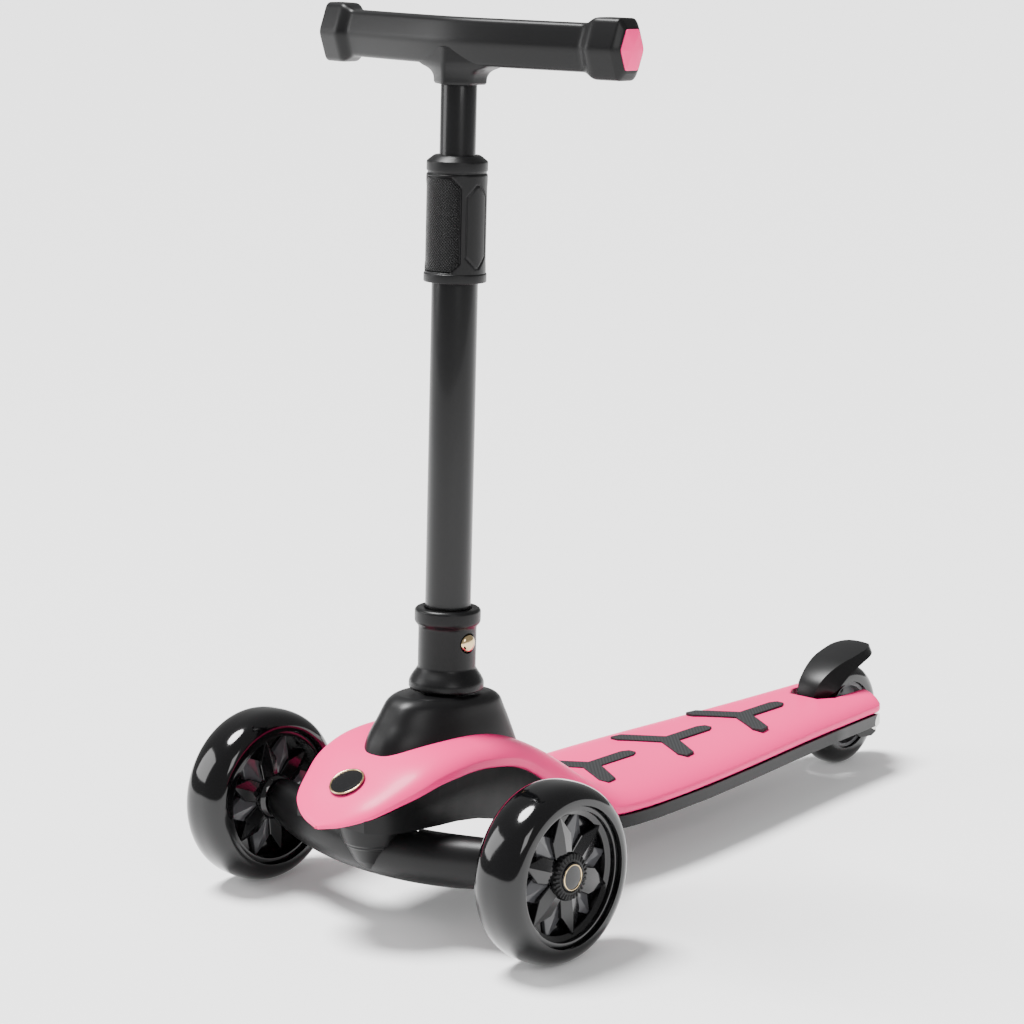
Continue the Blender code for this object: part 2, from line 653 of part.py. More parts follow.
def build_collar(stem):
    """Socket with a flared base ring and lip, and a shank that plugs into the housing."""
    bore = LOWER_TUBE_R + FIT
    shank = LOWER_TUBE_R + COLLAR_WALL
    flare = COLLAR_R + COLLAR_FLARE
    lip = COLLAR_R + COLLAR_LIP
    top = COLLAR_H
    profile = [(bore, -SOCKET_DEPTH), (shank, -SOCKET_DEPTH), (shank, 0.0), (flare, 0.0), (flare, 0.0050),
               (flare - 0.0018, 0.0085), (COLLAR_R + 0.0012, 0.0125), (COLLAR_R, 0.0145),
               (COLLAR_R, top - 0.0125), (lip, top - 0.0095), (lip, top - 0.0015), (lip - 0.0015, top),
               (bore, top)]
    body = solid("socket_collar", turned(profile, STEM_SEGMENTS), BLACK, stem)
    hole = rod(BUTTON_R + FIT, 0.0, 0.04, 16)
    combine(body, cutter("collar_button_cutter", hole, stem, (0, 0, BUTTON_RISE), ACROSS))


def build_lower_tube(stem):
    top = SLEEVE_BOTTOM + SLEEVE_SEAT
    body = solid("lower_tube", ring(LOWER_BORE_R, LOWER_TUBE_R, -SOCKET_DEPTH, top), TUBE_BLACK, stem)
    hole = rod(BUTTON_R + FIT, 0.0, 0.04, 16)
    combine(body, cutter("tube_button_cutter", hole, stem, (0, 0, BUTTON_RISE), ACROSS))


def build_button(stem):
    """Domed button whose flange bears on the inside of the tube, with its spring behind it."""
    axis = empty("release_button_axis", stem, (0, 0, BUTTON_RISE), ACROSS)
    flange = LOWER_BORE_R - 0.0030
    face = COLLAR_R + 0.0022
    profile = [(0.0, flange - 0.0015), (BUTTON_R, flange - 0.0015), (BUTTON_R, face - 0.0022),
               (BUTTON_R * 0.8, face - 0.0007), (BUTTON_R * 0.4, face), (0.0, face + 0.0002)]
    solid("release_button", turned(profile, 16), BRASS, axis)
    length = flange - 0.0015 + LOWER_BORE_R - 0.0020
    coil("button_spring", axis, 0.0036, 0.0005, length - 2 * FIT, 5, (0, 0, -LOWER_BORE_R + 0.0020 + FIT))


def build_sleeve(stem):
    """Twist sleeve over the joint of the two tubes, with the collet that it closes."""
    axis = empty("clamp_sleeve_axis", stem, (0, 0, SLEEVE_BOTTOM))
    seat = SLEEVE_SEAT
    low_bore = LOWER_TUBE_R + FIT
    high_bore = UPPER_TUBE_R + FIT
    step = seat + 0.0170
    h = SLEEVE_H
    profile = [(low_bore, 0.0), (SLEEVE_R + 0.0006, 0.0), (SLEEVE_R + 0.0006, 0.0055), (SLEEVE_R, 0.0060),
               (SLEEVE_R, h - 0.0085), (SLEEVE_R - 0.0007, h - 0.0080), (SLEEVE_R - 0.0007, h - 0.0072),
               (SLEEVE_R, h - 0.0067), (SLEEVE_R, h - 0.0040), (UPPER_TUBE_R + 0.0028, h),
               (high_bore, h), (high_bore, step), (low_bore, step)]
    solid("clamp_sleeve", turned(profile, STEM_SEGMENTS), BLACK, axis)
    low = SLEEVE_BOTTOM + seat + FIT
    body = solid("clamp_collet", ring(high_bore, LOWER_TUBE_R - 2 * FIT, low, low + 0.0160), NYLON, stem)
    slit = block((0.0, -0.0012, low - 0.001), (0.03, 0.0012, low + 0.018))
    combine(body, cutter("collet_slit_cutter", slit, stem))


def build_upper_tube(stem):
    slide = empty("height_slide", stem, (0, 0, 0))
    body = ring(UPPER_TUBE_R - UPPER_TUBE_WALL, UPPER_TUBE_R, UPPER_TUBE_BOTTOM, BAR_S - SOCKET_DROP)
    solid("upper_tube", body, TUBE_BLACK, slide)
    guide_low = UPPER_TUBE_BOTTOM + 0.002
    guide = ring(UPPER_TUBE_R + FIT, LOWER_BORE_R - FIT, guide_low, guide_low + GUIDE_H)
    solid("tube_guide", guide, NYLON, slide)
    return slide


# ---- handlebar ------------------------------------------------------------------------------------
def hexagon(half_d, half_h):
    """Hexagon with a flat top and bottom and a ridge to the front and to the rear."""
    flat = half_d * 0.54
    return [(half_d, 0.0), (flat, half_h), (-flat, half_h), (-half_d, 0.0), (-flat, -half_h), (flat, -half_h)]


def bar_centre(x):
    """Swept centre line of the handlebar, a hyperbola, behind the stem axis at its ends."""
    blend = 0.022
    half = BAR_WIDTH / 2
    rise = (math.hypot(x, blend) - blend) / (math.hypot(half, blend) - blend)
    return -BAR_FORWARD + BAR_SWEEP * rise


def bar_loop(x, half_d, half_h):
    return [(x, bar_centre(x) + y, z) for y, z in hexagon(half_d, half_h)]


def bar_stations():
    """Place and section size from the middle of the bar out to its end face."""
    half = BAR_WIDTH / 2
    flat = half - FLARE_LENGTH
    inner = flat - FLARE_SLOPE
    grip = [(x * inner, GRIP_HALF_D, GRIP_HALF_H) for x in (0.0, 0.12, 0.26, 0.45, 0.7, 1.0)]
    near = CAP_HALF_D + 0.0012, CAP_HALF_H + 0.0014
    return grip + [(flat, FLARE_HALF_D, FLARE_HALF_H), (half - END_CHAMFER, FLARE_HALF_D, FLARE_HALF_H),
                   (half, *near)]


def build_handlebar(slide):
    outward = bar_stations()
    loops = [bar_loop(-x, d, h) for x, d, h in reversed(outward[1:])]
    loops += [bar_loop(x, d, h) for x, d, h in outward]
    body = solid("handlebar", loft(loops), BLACK, slide, (0, 0, BAR_S), sharp=24.0)
    combine(body, cutter("neck_form", loft(neck_loops()), slide, (0, 0, BAR_S)), "UNION")
    socket = rod(UPPER_TUBE_R + FIT, NECK_S - 0.01, BAR_S - SOCKET_DROP + FIT, STEM_SEGMENTS)
    combine(body, cutter("neck_socket_cutter", socket, slide))
    for side, label in ((1, "left"), (-1, "right")):
        build_bar_cap(body, slide, side, label)


def build_bar_cap(body, slide, side, label):
    """Insert pressed into a pocket in one end face of the bar."""
    face = side * BAR_WIDTH / 2
    inner = face - side * CAP_DEPTH
    at = (0, bar_centre(BAR_WIDTH / 2), BAR_S)
    pocket = cap_body(inner - side * FIT, face + side * 0.01, CAP_HALF_D, CAP_HALF_H)
    combine(body, cutter("cap_pocket_" + label, pocket, slide, at))
    plug = cap_body(inner, face + side * CAP_PROUD, CAP_HALF_D - FIT, CAP_HALF_H - FIT)
    solid("bar_cap_" + label, plug, PINK, slide, at, sharp=24.0)


def neck_loops():
    """Six-sided neck with a ridge in front and behind, whose flanks sweep out into the bar."""
    low = -NECK_DROP
    loops = []
    for z, half_width in ((low, 0.0172), (low + 0.0040, 0.0176), (low + 0.0072, 0.0195),
                          (low + 0.0097, 0.0235), (low + 0.0115, 0.0300), (-0.0040, 0.0365)):
        ridge = half_width * 0.97
        loops.append([(0.0, -BAR_FORWARD - NECK_FRONT, z), (ridge, -0.0072, z), (ridge, 0.0095, z),
                      (0.0, NECK_BACK, z), (-ridge, 0.0095, z), (-ridge, -0.0072, z)])
    return loops


def cap_body(inner, outer, half_d, half_h):
    low, high = sorted((inner, outer))
    return loft([[(x, y, z) for y, z in hexagon(half_d, half_h)] for x in (low, high)])


# ---- steering truck -----------------------------------------------------------------------------------
def beam_radii(share):
    """Half depth and half height of the beam at a share of the way from its middle to its end."""
    depth = BEAM_HALF_D + (BEAM_END_R - BEAM_HALF_D) * share ** 2
    height = BEAM_HALF_H + (BEAM_END_R - BEAM_HALF_H) * share ** 5
    return depth, height


def beam_loops():
    """Rounded sections of the beam, which bows forward and down between its ends."""
    half = TRACK / 2 - BEAM_END_GAP
    loops = []
    for share in (-1, -0.92, -0.76, -0.54, -0.28, 0, 0.28, 0.54, 0.76, 0.92, 1):
        depth, height = beam_radii(abs(share))
        y = -BEAM_BOW * (1 - share ** 2)
        z = AXLE_Z - BEAM_DROP * (1 - share ** 2)
        loops.append([(share * half, y + depth * math.cos(a), z + height * math.sin(a))
                      for a in np.linspace(0, 2 * math.pi, BEAM_SIDES, endpoint=False)])
    return loops


def boss_profile():
    """Cone below the axle line, a ring groove and the cup above it."""
    top = AXLE_Z + BOSS_RISE
    return [(0.0, AXLE_Z - 0.0185), (0.0085, AXLE_Z - 0.0180), (0.0140, AXLE_Z - 0.0120),
            (BOSS_RING_R - 0.001, AXLE_Z - 0.0020), (BOSS_RING_R, AXLE_Z - 0.0010), (BOSS_RING_R, AXLE_Z),
            (BOSS_RING_R + 0.0013, AXLE_Z + 0.0012), (BOSS_TOP_R, top - 0.0025), (BOSS_TOP_R, top),
            (0.0, top)]


def build_beam(scooter, pivot):
    """Bowed axle beam with the kingpin boss, bored for the axles and along the raked pivot."""
    body = solid("axle_beam", loft(beam_loops()), BLACK, scooter)
    combine(body, cutter("boss_form", turned(boss_profile(), 24), scooter, (0, BOSS_Y, 0)), "UNION")
    half = TRACK / 2 - BEAM_END_GAP
    at = (0, 0, AXLE_Z)
    for side, label in ((1, "left"), (-1, "right")):
        low, high = sorted((side * (half - 0.004), side * (TRACK / 2 - STUB_GAP)))
        combine(body, cutter("beam_end_" + label, rod(STUB_R, low, high, 16), scooter, at, ACROSS), "UNION")
        low, high = sorted((side * (half - AXLE_SEAT - 0.001), side * (TRACK / 2)))
        combine(body, cutter("beam_bore_" + label, rod(AXLE_R + FIT, low, high, 16), scooter, at, ACROSS))
    below = BUSH_R + 0.0015
    above = POST_R + 0.0025
    seats = turned([(0.0, -0.030), (below, -0.030), (below, BUSH_LOW - FIT), (BUSH_R + FIT, BUSH_LOW - FIT),
                    (BUSH_R + FIT, BUSH_TOP + FIT), (above, BUSH_TOP + FIT), (above, 0.040), (0.0,
                                                                                              0.040)], 20)
    combine(body, cutter("kingpin_seat_cutter", seats, pivot))


def build_kingpin(pivot):
    """Pin through the beam and the post of the tray, its two bushes and the nut below."""
    bore = PIN_R + FIT
    solid("pivot_bush_lower", ring(bore, BUSH_R, BUSH_LOW, BUSH_TOP, 16), NYLON, pivot)
    solid("pivot_bush_upper", ring(bore, POST_R - 0.001, BUSH_TOP + 2 * FIT, POST_LOW - FIT, 20),
          NYLON, pivot)
    solid("pivot_pin", rod(PIN_R, BUSH_LOW - NUT_H - 0.003, POST_TOP - 0.004), STEEL, pivot)
    nut_top = BUSH_LOW - 2 * FIT
    nut("pivot_nut", STEEL, pivot, nut_top - NUT_H, nut_top, bore)


def build_post(chassis, pivot):
    """Raked post of the tray that takes the kingpin."""
    combine(chassis, cutter("kingpin_post", rod(POST_R, POST_LOW, POST_TOP, 24), pivot), "UNION")
    bore = rod(PIN_R + FIT, POST_LOW - 0.01, POST_TOP - 0.004 + FIT)
    combine(chassis, cutter("kingpin_bore_cutter", bore, pivot))


def build_steer_springs(scooter):
    """Springs between the top of the beam and the roof of the nose pocket, one on each side."""
    half = TRACK / 2 - BEAM_END_GAP
    crest = AXLE_Z - BEAM_DROP * (1 - (SPRING_X / half) ** 2) + BEAM_HALF_H
    base = crest + FIT
    for side, label in ((1, "left"), (-1, "right")):
        coil("steer_spring_" + label, scooter, SPRING_R - SPRING_WIRE_R, SPRING_WIRE_R,
             POCKET_Z - base - 3 * FIT, 5, (side * SPRING_X, PIVOT_Y, base))


# ---- wheels -------------------------------------------------------------------------------------------
def tyre_profile(bore, radius, width, seat):
    """Closed section of a tyre: a straight seat on the rim and a rounded tread."""
    points = [(bore, -seat), (bore, seat)]
    for a in np.radians([82, 60, 38, 18, 0, -18, -38, -60, -82]):
        reach = bore + (radius - bore) * math.cos(a) ** 0.75
        side = width / 2 * math.copysign(abs(math.sin(a)) ** 0.8, math.sin(a))
        points.append((reach, side))
    return points


def rim_profile(bore, hub, rim, wall, half_hub, web, half_rim, top):
    return [(bore, -half_hub), (hub, -half_hub), (hub, -web), (rim - wall, -web), (rim - wall, -half_rim),
            (rim, -half_rim), (rim, half_rim), (rim - wall, half_rim), (rim - wall, web), (hub, web),
            (hub, top), (bore, top)]


def window_cutter(inner, outer, low, high, share, lean):
    """Ring of windows between slanted spokes, each a four-sided opening with a lean."""
    pitch = 2 * math.pi / SPOKES
    windows = []
    for i in range(SPOKES):
        start = i * pitch
        corners = [(inner, 0.16), (inner, share - 0.10), (outer, share + lean), (outer, (share + lean) / 2),
                   (outer, lean)]
        outline = [(r * math.cos(start + f * pitch), r * math.sin(start + f * pitch)) for r, f in corners]
        windows.append(prism(outline, low, high))
    return joined(*windows)


def build_front_wheel(scooter, side, label):
    """Light-up wheel: tyre, spoked core, outer cover with its own windows, knurled ring and cap."""
    turn = (0, side * math.pi / 2, 0)
    at = (side * TRACK / 2, 0, AXLE_Z)
    fixed = empty("front_axle_axis_" + label, scooter, at, turn)
    wheel = empty("front_wheel_axis_" + label, scooter, at, turn)
    name = "front_{}_" + label
    rim = FRONT_RIM_R
    seat = FRONT_WHEEL_W / 2 - 0.0025
    tyre = tyre_profile(rim + FIT, FRONT_WHEEL_R, FRONT_WHEEL_W, seat)
    solid(name.format("tyre"), turned(tyre, WHEEL_SEGMENTS), TYRE_BLACK, wheel)
    core = turned(rim_profile(BEARING_R + FIT, 0.0150, rim, 0.0035, 0.0148, 0.0035, 0.0165, 0.0100),
                  WHEEL_SEGMENTS)
    core = solid(name.format("wheel_core"), core, SMOKE, wheel)
    openings = window_cutter(0.0195, rim - 0.0060, -0.01, 0.01, 0.74, 0.10)
    combine(core, cutter(name.format("core_window_cutter"), openings, wheel))
    cover = turned([(0.0163, 0.0128), (0.0163, 0.0105), (rim - 0.0038, 0.0125), (rim - 0.0038, 0.0150)],
                   WHEEL_SEGMENTS)
    cover = solid(name.format("wheel_cover"), cover, SMOKE, wheel)
    slots = window_cutter(0.0215, rim - 0.0085, 0.005, 0.02, 0.66, 0.22)
    combine(cover, cutter(name.format("cover_window_cutter"), slots, wheel))
    solid(name.format("hub_ring"), ring(0.0098, 0.0158, 0.0131, 0.0172, 30), BLACK, wheel)
    cap = turned([(0.0, 0.0150), (0.0094, 0.0150), (0.0094, 0.0170), (0.0080, 0.0180), (0.0, 0.0184)], 20)
    solid(name.format("hub_cap"), cap, BADGE, wheel)
    for place_name, low in (("inner", -0.0145), ("outer", 0.0005)):
        bearing = ring(AXLE_R + FIT, BEARING_R, low, low + BEARING_W, 20)
        solid(name.format("bearing_" + place_name), bearing, STEEL, wheel)
    spacer = ring(AXLE_R + FIT, 0.0058, -0.0145 + BEARING_W + FIT, 0.0005 - FIT, 12)
    solid(name.format("axle_spacer"), spacer, STEEL, fixed)
    solid(name.format("axle"), rod(AXLE_R, -BEAM_END_GAP - 0.0250, 0.0143, 16), STEEL, fixed)
    nut(name.format("axle_nut"), STEEL, fixed, 0.0005 + BEARING_W + FIT, 0.0005 + BEARING_W + FIT + NUT_H,
        AXLE_R + FIT)


def build_rear_wheel(scooter):
    turn = ACROSS
    at = (0, WHEELBASE, REAR_WHEEL_R)
    fixed = empty("rear_axle_axis", scooter, at, turn)
    wheel = empty("rear_wheel_axis", scooter, at, turn)
    half = REAR_WHEEL_W / 2
    rim = REAR_RIM_R
    tyre = tyre_profile(rim + FIT, REAR_WHEEL_R, REAR_WHEEL_W, half - 0.002)
    solid("rear_tyre", turned(tyre, WHEEL_SEGMENTS), TYRE_BLACK, wheel)
    core = turned(rim_profile(BEARING_R + FIT, 0.0140, rim, 0.0028, half, 0.0035, half - 0.0025, half),
                  WHEEL_SEGMENTS)
    core = solid("rear_wheel_core", core, BLACK, wheel)
    slots = []
    for i in range(REAR_SLOTS):
        angle = i * 2 * math.pi / REAR_SLOTS
        slot = rod(0.0026, -0.01, 0.01, 6)
        bmesh.ops.translate(slot, vec=(0.0184 * math.cos(angle), 0.0184 * math.sin(angle), 0),
                            verts=slot.verts)
        slots.append(slot)
    combine(core, cutter("rear_core_slot_cutter", joined(*slots), wheel))
    for place_name, low in (("right", -half), ("left", half - BEARING_W)):
        solid("rear_bearing_" + place_name, ring(AXLE_R + FIT, BEARING_R, low, low + BEARING_W, 20),
              STEEL, wheel)
    gap = half - BEARING_W - FIT
    solid("rear_axle_spacer", ring(AXLE_R + FIT, 0.0058, -gap, gap, 12), STEEL, fixed)
    reach = NOTCH_HALF_WIDTH + FORK_PLATE
    axle = turned([(0.0, -reach - 0.0030), (0.0062, -reach - 0.0030), (0.0062, -reach - FIT), (AXLE_R,
                                                                                               -reach - FIT),
                   (AXLE_R, reach + 0.0050), (0.0, reach + 0.0050)], 16)
    solid("rear_axle", axle, STEEL, fixed)
    nut("rear_axle_nut", STEEL, fixed, reach + FIT, reach + FIT + 0.0040, AXLE_R + FIT)


def bore_rear_fork(chassis, scooter):
    """Axle and brake pin bores, and the round recesses for the axle's head and nut."""
    for side, label in ((1, "left"), (-1, "right")):
        low, high = sorted((side * (NOTCH_HALF_WIDTH + FORK_PLATE), side * 0.07))
        room = rod(0.0080, low, high, 16)
        combine(chassis, cutter("axle_recess_" + label, room, scooter, (0, WHEELBASE, REAR_WHEEL_R),
                                ACROSS))
    bore = rod(AXLE_R + FIT, -0.05, 0.05, 16)
    combine(chassis, cutter("rear_axle_bore_cutter", bore, scooter, (0, WHEELBASE, REAR_WHEEL_R),
                            ACROSS))
    pin = rod(BRAKE_PIN_R + FIT, -0.030, 0.030, 12)
    combine(chassis, cutter("brake_pin_bore_cutter", pin, scooter, brake_pivot(), ACROSS))


# ---- brake ----------------------------------------------------------------------------------------------
def brake_pivot():
    return (0, WHEELBASE - BRAKE_PIVOT_BACK, BRAKE_PIVOT_Z)


def fender_line():
    """Outer side line of the fender, (along Y, height) from the rear axle, front to tail."""
    over = REAR_WHEEL_R + BRAKE_GAP
    front = -(REAR_WHEEL_R + 0.0035)
    return [(front, over - 0.0330), (front + 0.0005, over - 0.0265), (front + 0.0030, over - 0.0195),
            (front + 0.0080, over - 0.0135), (-0.0245, over - 0.0072), (-0.0120, over - 0.0025), (0.0, over),
            (0.0090, over + 0.0018), (0.0170, over + 0.0030), (0.0225, over + 0.0036), (0.0260,
                                                                                        over + 0.0038)]


def fender_loops():
    """Sections of the fender: a shell of even thickness, rolled down at its sides and round at its tail."""
    origin = np.array(brake_pivot()[1:])
    line = np.array([(WHEELBASE + y, REAR_WHEEL_R + z) for y, z in fender_line()]) - origin
    tangents = np.gradient(line, axis=0)
    tangents /= np.linalg.norm(tangents, axis=1)[:, None]
    across = np.linspace(-1, 1, 7)
    loops = []
    for i, (point, tangent) in enumerate(zip(line, tangents)):
        normal = np.array((-tangent[1], tangent[0]))
        tail = max(0.0, (i - 7) / 3.0)
        half = FENDER_HALF_WIDTH * (0.80 + 0.20 * min(1.0, i / 3.0)) * math.sqrt(1 - FENDER_TAPER * tail ** 2)
        outer, inner = [], []
        for u in across:
            drop = FENDER_ROLL * abs(u) ** 2.4
            outer.append((u * half, *(point - normal * drop)))
            inner.append((u * half, *(point - normal * (drop + FENDER_THICKNESS))))
        loops.append(outer + inner[::-1])
    return loops


def build_brake(scooter):
    """Fender that hinges in the fork, with split knuckles around its spring."""
    hinge = empty("brake_axis", scooter, brake_pivot())
    here = (0, 0, 0)
    body = solid("brake_fender", loft(fender_loops()), BLACK, hinge, sharp=40.0)
    reach = NOTCH_HALF_WIDTH - 0.0015
    knuckle = rod(BRAKE_KNUCKLE_R, -reach, reach)
    combine(body, cutter("knuckle_form", knuckle, hinge, here, ACROSS), "UNION")
    half = FENDER_HALF_WIDTH * 0.76
    web = prism([(-0.0015, 0.0035), (0.0028, 0.0052), (0.0028, 0.0165), (0.0062, 0.0165), (0.0062, 0.0060),
                 (0.0040, 0.0010), (0.0, -0.0020)], -half, half)
    combine(body, cutter("knuckle_web", web, hinge, here, SIDEWAYS), "UNION")
    gap = block((-0.0068, -0.0052, -0.006), (0.0068, 0.0048, 0.0050))
    combine(body, cutter("spring_gap_cutter", gap, hinge))
    bore = rod(BRAKE_PIN_R + FIT, -0.03, 0.03, 12)
    combine(body, cutter("knuckle_bore_cutter", bore, hinge, here, ACROSS))
    pin_reach = NOTCH_HALF_WIDTH + 0.0075
    solid("brake_pin", rod(BRAKE_PIN_R, -pin_reach, pin_reach, 12), STEEL, scooter, brake_pivot(), ACROSS)
    half_coil = 0.0065
    place_of_coil = tuple(Vector(brake_pivot()) - Vector((half_coil, 0, 0)))
    coil("brake_spring", scooter, BRAKE_PIN_R + 0.0014, 0.0006, 2 * half_coil, 5, place_of_coil, ACROSS)


def screw_profile(grow=0.0, below=0.0):
    """Section of a pan-head screw, larger by grow for its hole, which opens downward by below."""
    head = 0.0042 + grow
    shank = 0.0018 + grow
    return [(0.0, -below), (head, -below), (head, 0.0020 + grow), (shank, 0.0020 + grow),
            (shank, SCREW_LENGTH + grow), (0.0, SCREW_LENGTH + grow)]


def build_screws(scooter, chassis):
    """Pan-head screws that hold the cover, driven up through the tray from below."""
    rear_y = NOTCH_Y - 0.0125
    places = ((0.042, 0.150), (-0.042, 0.150), (0.031, rear_y), (-0.031, rear_y))
    for i, (x, y) in enumerate(places):
        name = "chassis_screw_" + str(i + 1)
        at = (x, y, CHASSIS_Z + FIT)
        solid(name, turned(screw_profile(), 12), STEEL, scooter, at)
        hole = turned(screw_profile(FIT, 0.003), 12)
        combine(chassis, cutter(name + "_cutter", hole, scooter, at))


def main():
    clear_scene()
    scooter = empty("scooter", None, (0, ORIGIN_Y, 0))
    stem = empty("stem_axis", scooter, (0, STEM_FOOT_Y, STEM_FOOT_Z), (-STEM_TILT, 0, 0))
    pivot = empty("pivot_axis", scooter, (0, PIVOT_Y, PIVOT_Z), (RAKE, 0, 0))
    build_cover(scooter)
    chassis = build_chassis(scooter)
    build_post(chassis, pivot)
    bore_rear_fork(chassis, scooter)
    build_screws(scooter, chassis)
    build_grips(scooter)
    build_badge(scooter)
    build_housing(scooter, stem)
    build_collar(stem)
    build_lower_tube(stem)
    build_button(stem)
    build_sleeve(stem)
    build_handlebar(build_upper_tube(stem))
    build_beam(scooter, pivot)
    build_kingpin(pivot)
    build_steer_springs(scooter)
    for side, label in ((1, "left"), (-1, "right")):
        build_front_wheel(scooter, side, label)
    build_rear_wheel(scooter)
    build_brake(scooter)


if __name__ == "__main__":
    main()
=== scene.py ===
"""Child's lean-to-steer kick scooter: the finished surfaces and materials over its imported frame.

Laid out as a Blender add-on.  Each operator makes one piece or group of like pieces; main() calls
them in order.  Metres; +X is the rider's left, -Y the front and +Z up, with the ground at zero.
"""
import json
import math

import bmesh
import bpy
import numpy as np
from mathutils import Matrix, Vector

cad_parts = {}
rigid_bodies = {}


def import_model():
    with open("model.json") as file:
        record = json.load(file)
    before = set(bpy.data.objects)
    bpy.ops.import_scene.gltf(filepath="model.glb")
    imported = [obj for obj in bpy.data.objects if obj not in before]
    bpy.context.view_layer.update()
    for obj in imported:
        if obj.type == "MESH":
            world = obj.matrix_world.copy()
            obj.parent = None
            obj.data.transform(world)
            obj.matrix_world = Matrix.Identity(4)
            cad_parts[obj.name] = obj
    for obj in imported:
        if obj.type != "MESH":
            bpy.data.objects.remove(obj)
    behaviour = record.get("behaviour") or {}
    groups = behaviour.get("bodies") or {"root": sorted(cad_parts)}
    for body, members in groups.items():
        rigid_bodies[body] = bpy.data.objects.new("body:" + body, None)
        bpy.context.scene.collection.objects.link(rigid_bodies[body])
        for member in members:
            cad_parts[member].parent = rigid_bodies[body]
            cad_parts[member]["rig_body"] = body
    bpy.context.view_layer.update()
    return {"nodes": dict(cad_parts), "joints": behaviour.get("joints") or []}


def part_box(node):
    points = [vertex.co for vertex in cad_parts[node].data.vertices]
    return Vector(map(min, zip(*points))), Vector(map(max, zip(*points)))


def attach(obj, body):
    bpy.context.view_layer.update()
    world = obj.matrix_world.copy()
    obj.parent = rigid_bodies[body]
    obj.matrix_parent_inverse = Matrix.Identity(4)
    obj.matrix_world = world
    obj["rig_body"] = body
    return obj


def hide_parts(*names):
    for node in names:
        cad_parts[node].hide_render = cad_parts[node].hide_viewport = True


bl_info = {
    "name": "Kick Scooter",
    "version": (1, 0, 0),
    "blender": (4, 5, 0),
    "location": "View3D > Sidebar > Scooter",
    "description": "Builds the finished surfaces and materials of a child's kick scooter",
    "category": "Add Mesh",
}

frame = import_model()
JOINTS = {joint["name"]: joint for joint in frame["joints"]}


def middle(node):
    low, high = (np.array(corner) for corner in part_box(node))
    return (low + high) / 2


def size(node):
    low, high = (np.array(corner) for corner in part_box(node))
    return high - low


# ---- places and sizes read from the frame ------------------------------------------------------
FRONT_AXLE = middle("front_tyre_left")
REAR_AXLE = middle("rear_tyre")
AXLE_Y, AXLE_Z = FRONT_AXLE[1], FRONT_AXLE[2]
WHEELBASE = REAR_AXLE[1] - AXLE_Y
TRACK = JOINTS["front_wheel_spin_left"]["pos_m"][0] * 2
FRONT_R = size("front_tyre_left")[2] / 2
REAR_R = size("rear_tyre")[2] / 2
STEM_AXIS = Vector(JOINTS["clamp_twist"]["axis"]).normalized()
SLEEVE_FOOT = Vector(JOINTS["clamp_twist"]["pos_m"])
STEM = Matrix.Translation(SLEEVE_FOOT) @ Matrix.Rotation(-math.atan2(STEM_AXIS.y, STEM_AXIS.z), 4, "X")
BRAKE_PIVOT = Vector(JOINTS["brake_press"]["pos_m"])

# ---- shape of the deck, as lengths from the front axle line ------------------------------------
NOSE_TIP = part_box("deck_cover")[0][1] - AXLE_Y
DECK_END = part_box("deck_cover")[1][1] - AXLE_Y
DECK_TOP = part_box("grip_pad_rear")[1][2] - 0.0010
EDGE_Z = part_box("deck_cover")[0][2]
NOSE_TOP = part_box("deck_cover")[1][2] + 0.0006
NOSE_EDGE = NOSE_TOP - 0.0176
NOSE_HALF = 0.058
DECK_HALF = 0.0660
DECK_REAR_HALF = 0.0425
HEEL = 0.166
TAIL_ROUND = 0.012
NOTCH_HALF = 0.0205
NOTCH_Y = WHEELBASE - REAR_R - 0.0045
NOSE_SHOULDER, DECK_SHOULDER = 0.42, 0.50

FRONT_RIM_R = 0.0465
REAR_RIM_R = 0.0255
RIM_HALF_WIDTH = 0.0165
SEAT_GAP = 0.0003
BLADES = 6
BLADE_TURN = 0.15
TEETH = 30
KNUCKLE_R = 0.0042

# ---- stage -------------------------------------------------------------------------------------
EYE = Vector((1.5193, -1.8028, 0.7516))
AIM = Vector((-0.0786, -0.0235, 0.2335))
ROLL = math.radians(-0.35)
LENS, SENSOR = 120.5, 36.0
FLOOR_REACH = 30.0
LIGHT_AIM = Vector((0, 0, 0.25))


# ---- user settings -----------------------------------------------------------------------------
def colour(name, words, value):
    return bpy.props.FloatVectorProperty(name=name, description=words, default=value, subtype="COLOR",
                                         size=3, min=0.0, max=1.0)


def length(name, words, value):
    return bpy.props.FloatProperty(name=name, description=words, default=value, unit="LENGTH", min=0.0)


class ScooterColours(bpy.types.PropertyGroup):
    """Colours of the moulded pieces, the wheels and the metal."""

    cover: colour("Cover", "Nose, deck cover and bar inserts", (0.96, 0.026, 0.205))
    plastic: colour("Black plastic", "Tray, beam, housing, sleeve, bar and brake",
                    (0.0042, 0.0042, 0.0045))
    tube: colour("Tube coating", "Both tubes of the stem", (0.0042, 0.0042, 0.0046))
    pads: colour("Pads", "Rubber pads on the deck", (0.012, 0.013, 0.014))
    urethane: colour("Tyres", "Smoky urethane of the tyres", (0.0015, 0.0015, 0.0018))
    gloss: colour("Wheel cores", "Gloss black cores, caps and badge", (0.004, 0.004, 0.0045))
    smoke: colour("Wheel facets", "Smoky facets between the petals", (0.05, 0.05, 0.054))
    brass: colour("Trim", "Button and rings", (0.62, 0.47, 0.26))


class ScooterSizes(bpy.types.PropertyGroup):
    """Sizes of the finish that the frame leaves open."""

    wall: length("Cover wall", "Thickness of the pink cover", 0.0016)
    band: length("Edge band", "Height of the band along the cover's lower edge", 0.0068)
    lip: length("Lip radius", "Radius that rolls the cover's edge inward", 0.0022)
    knurl: length("Knurl pitch", "Spacing of the diamonds on the clamp sleeve", 0.0021)


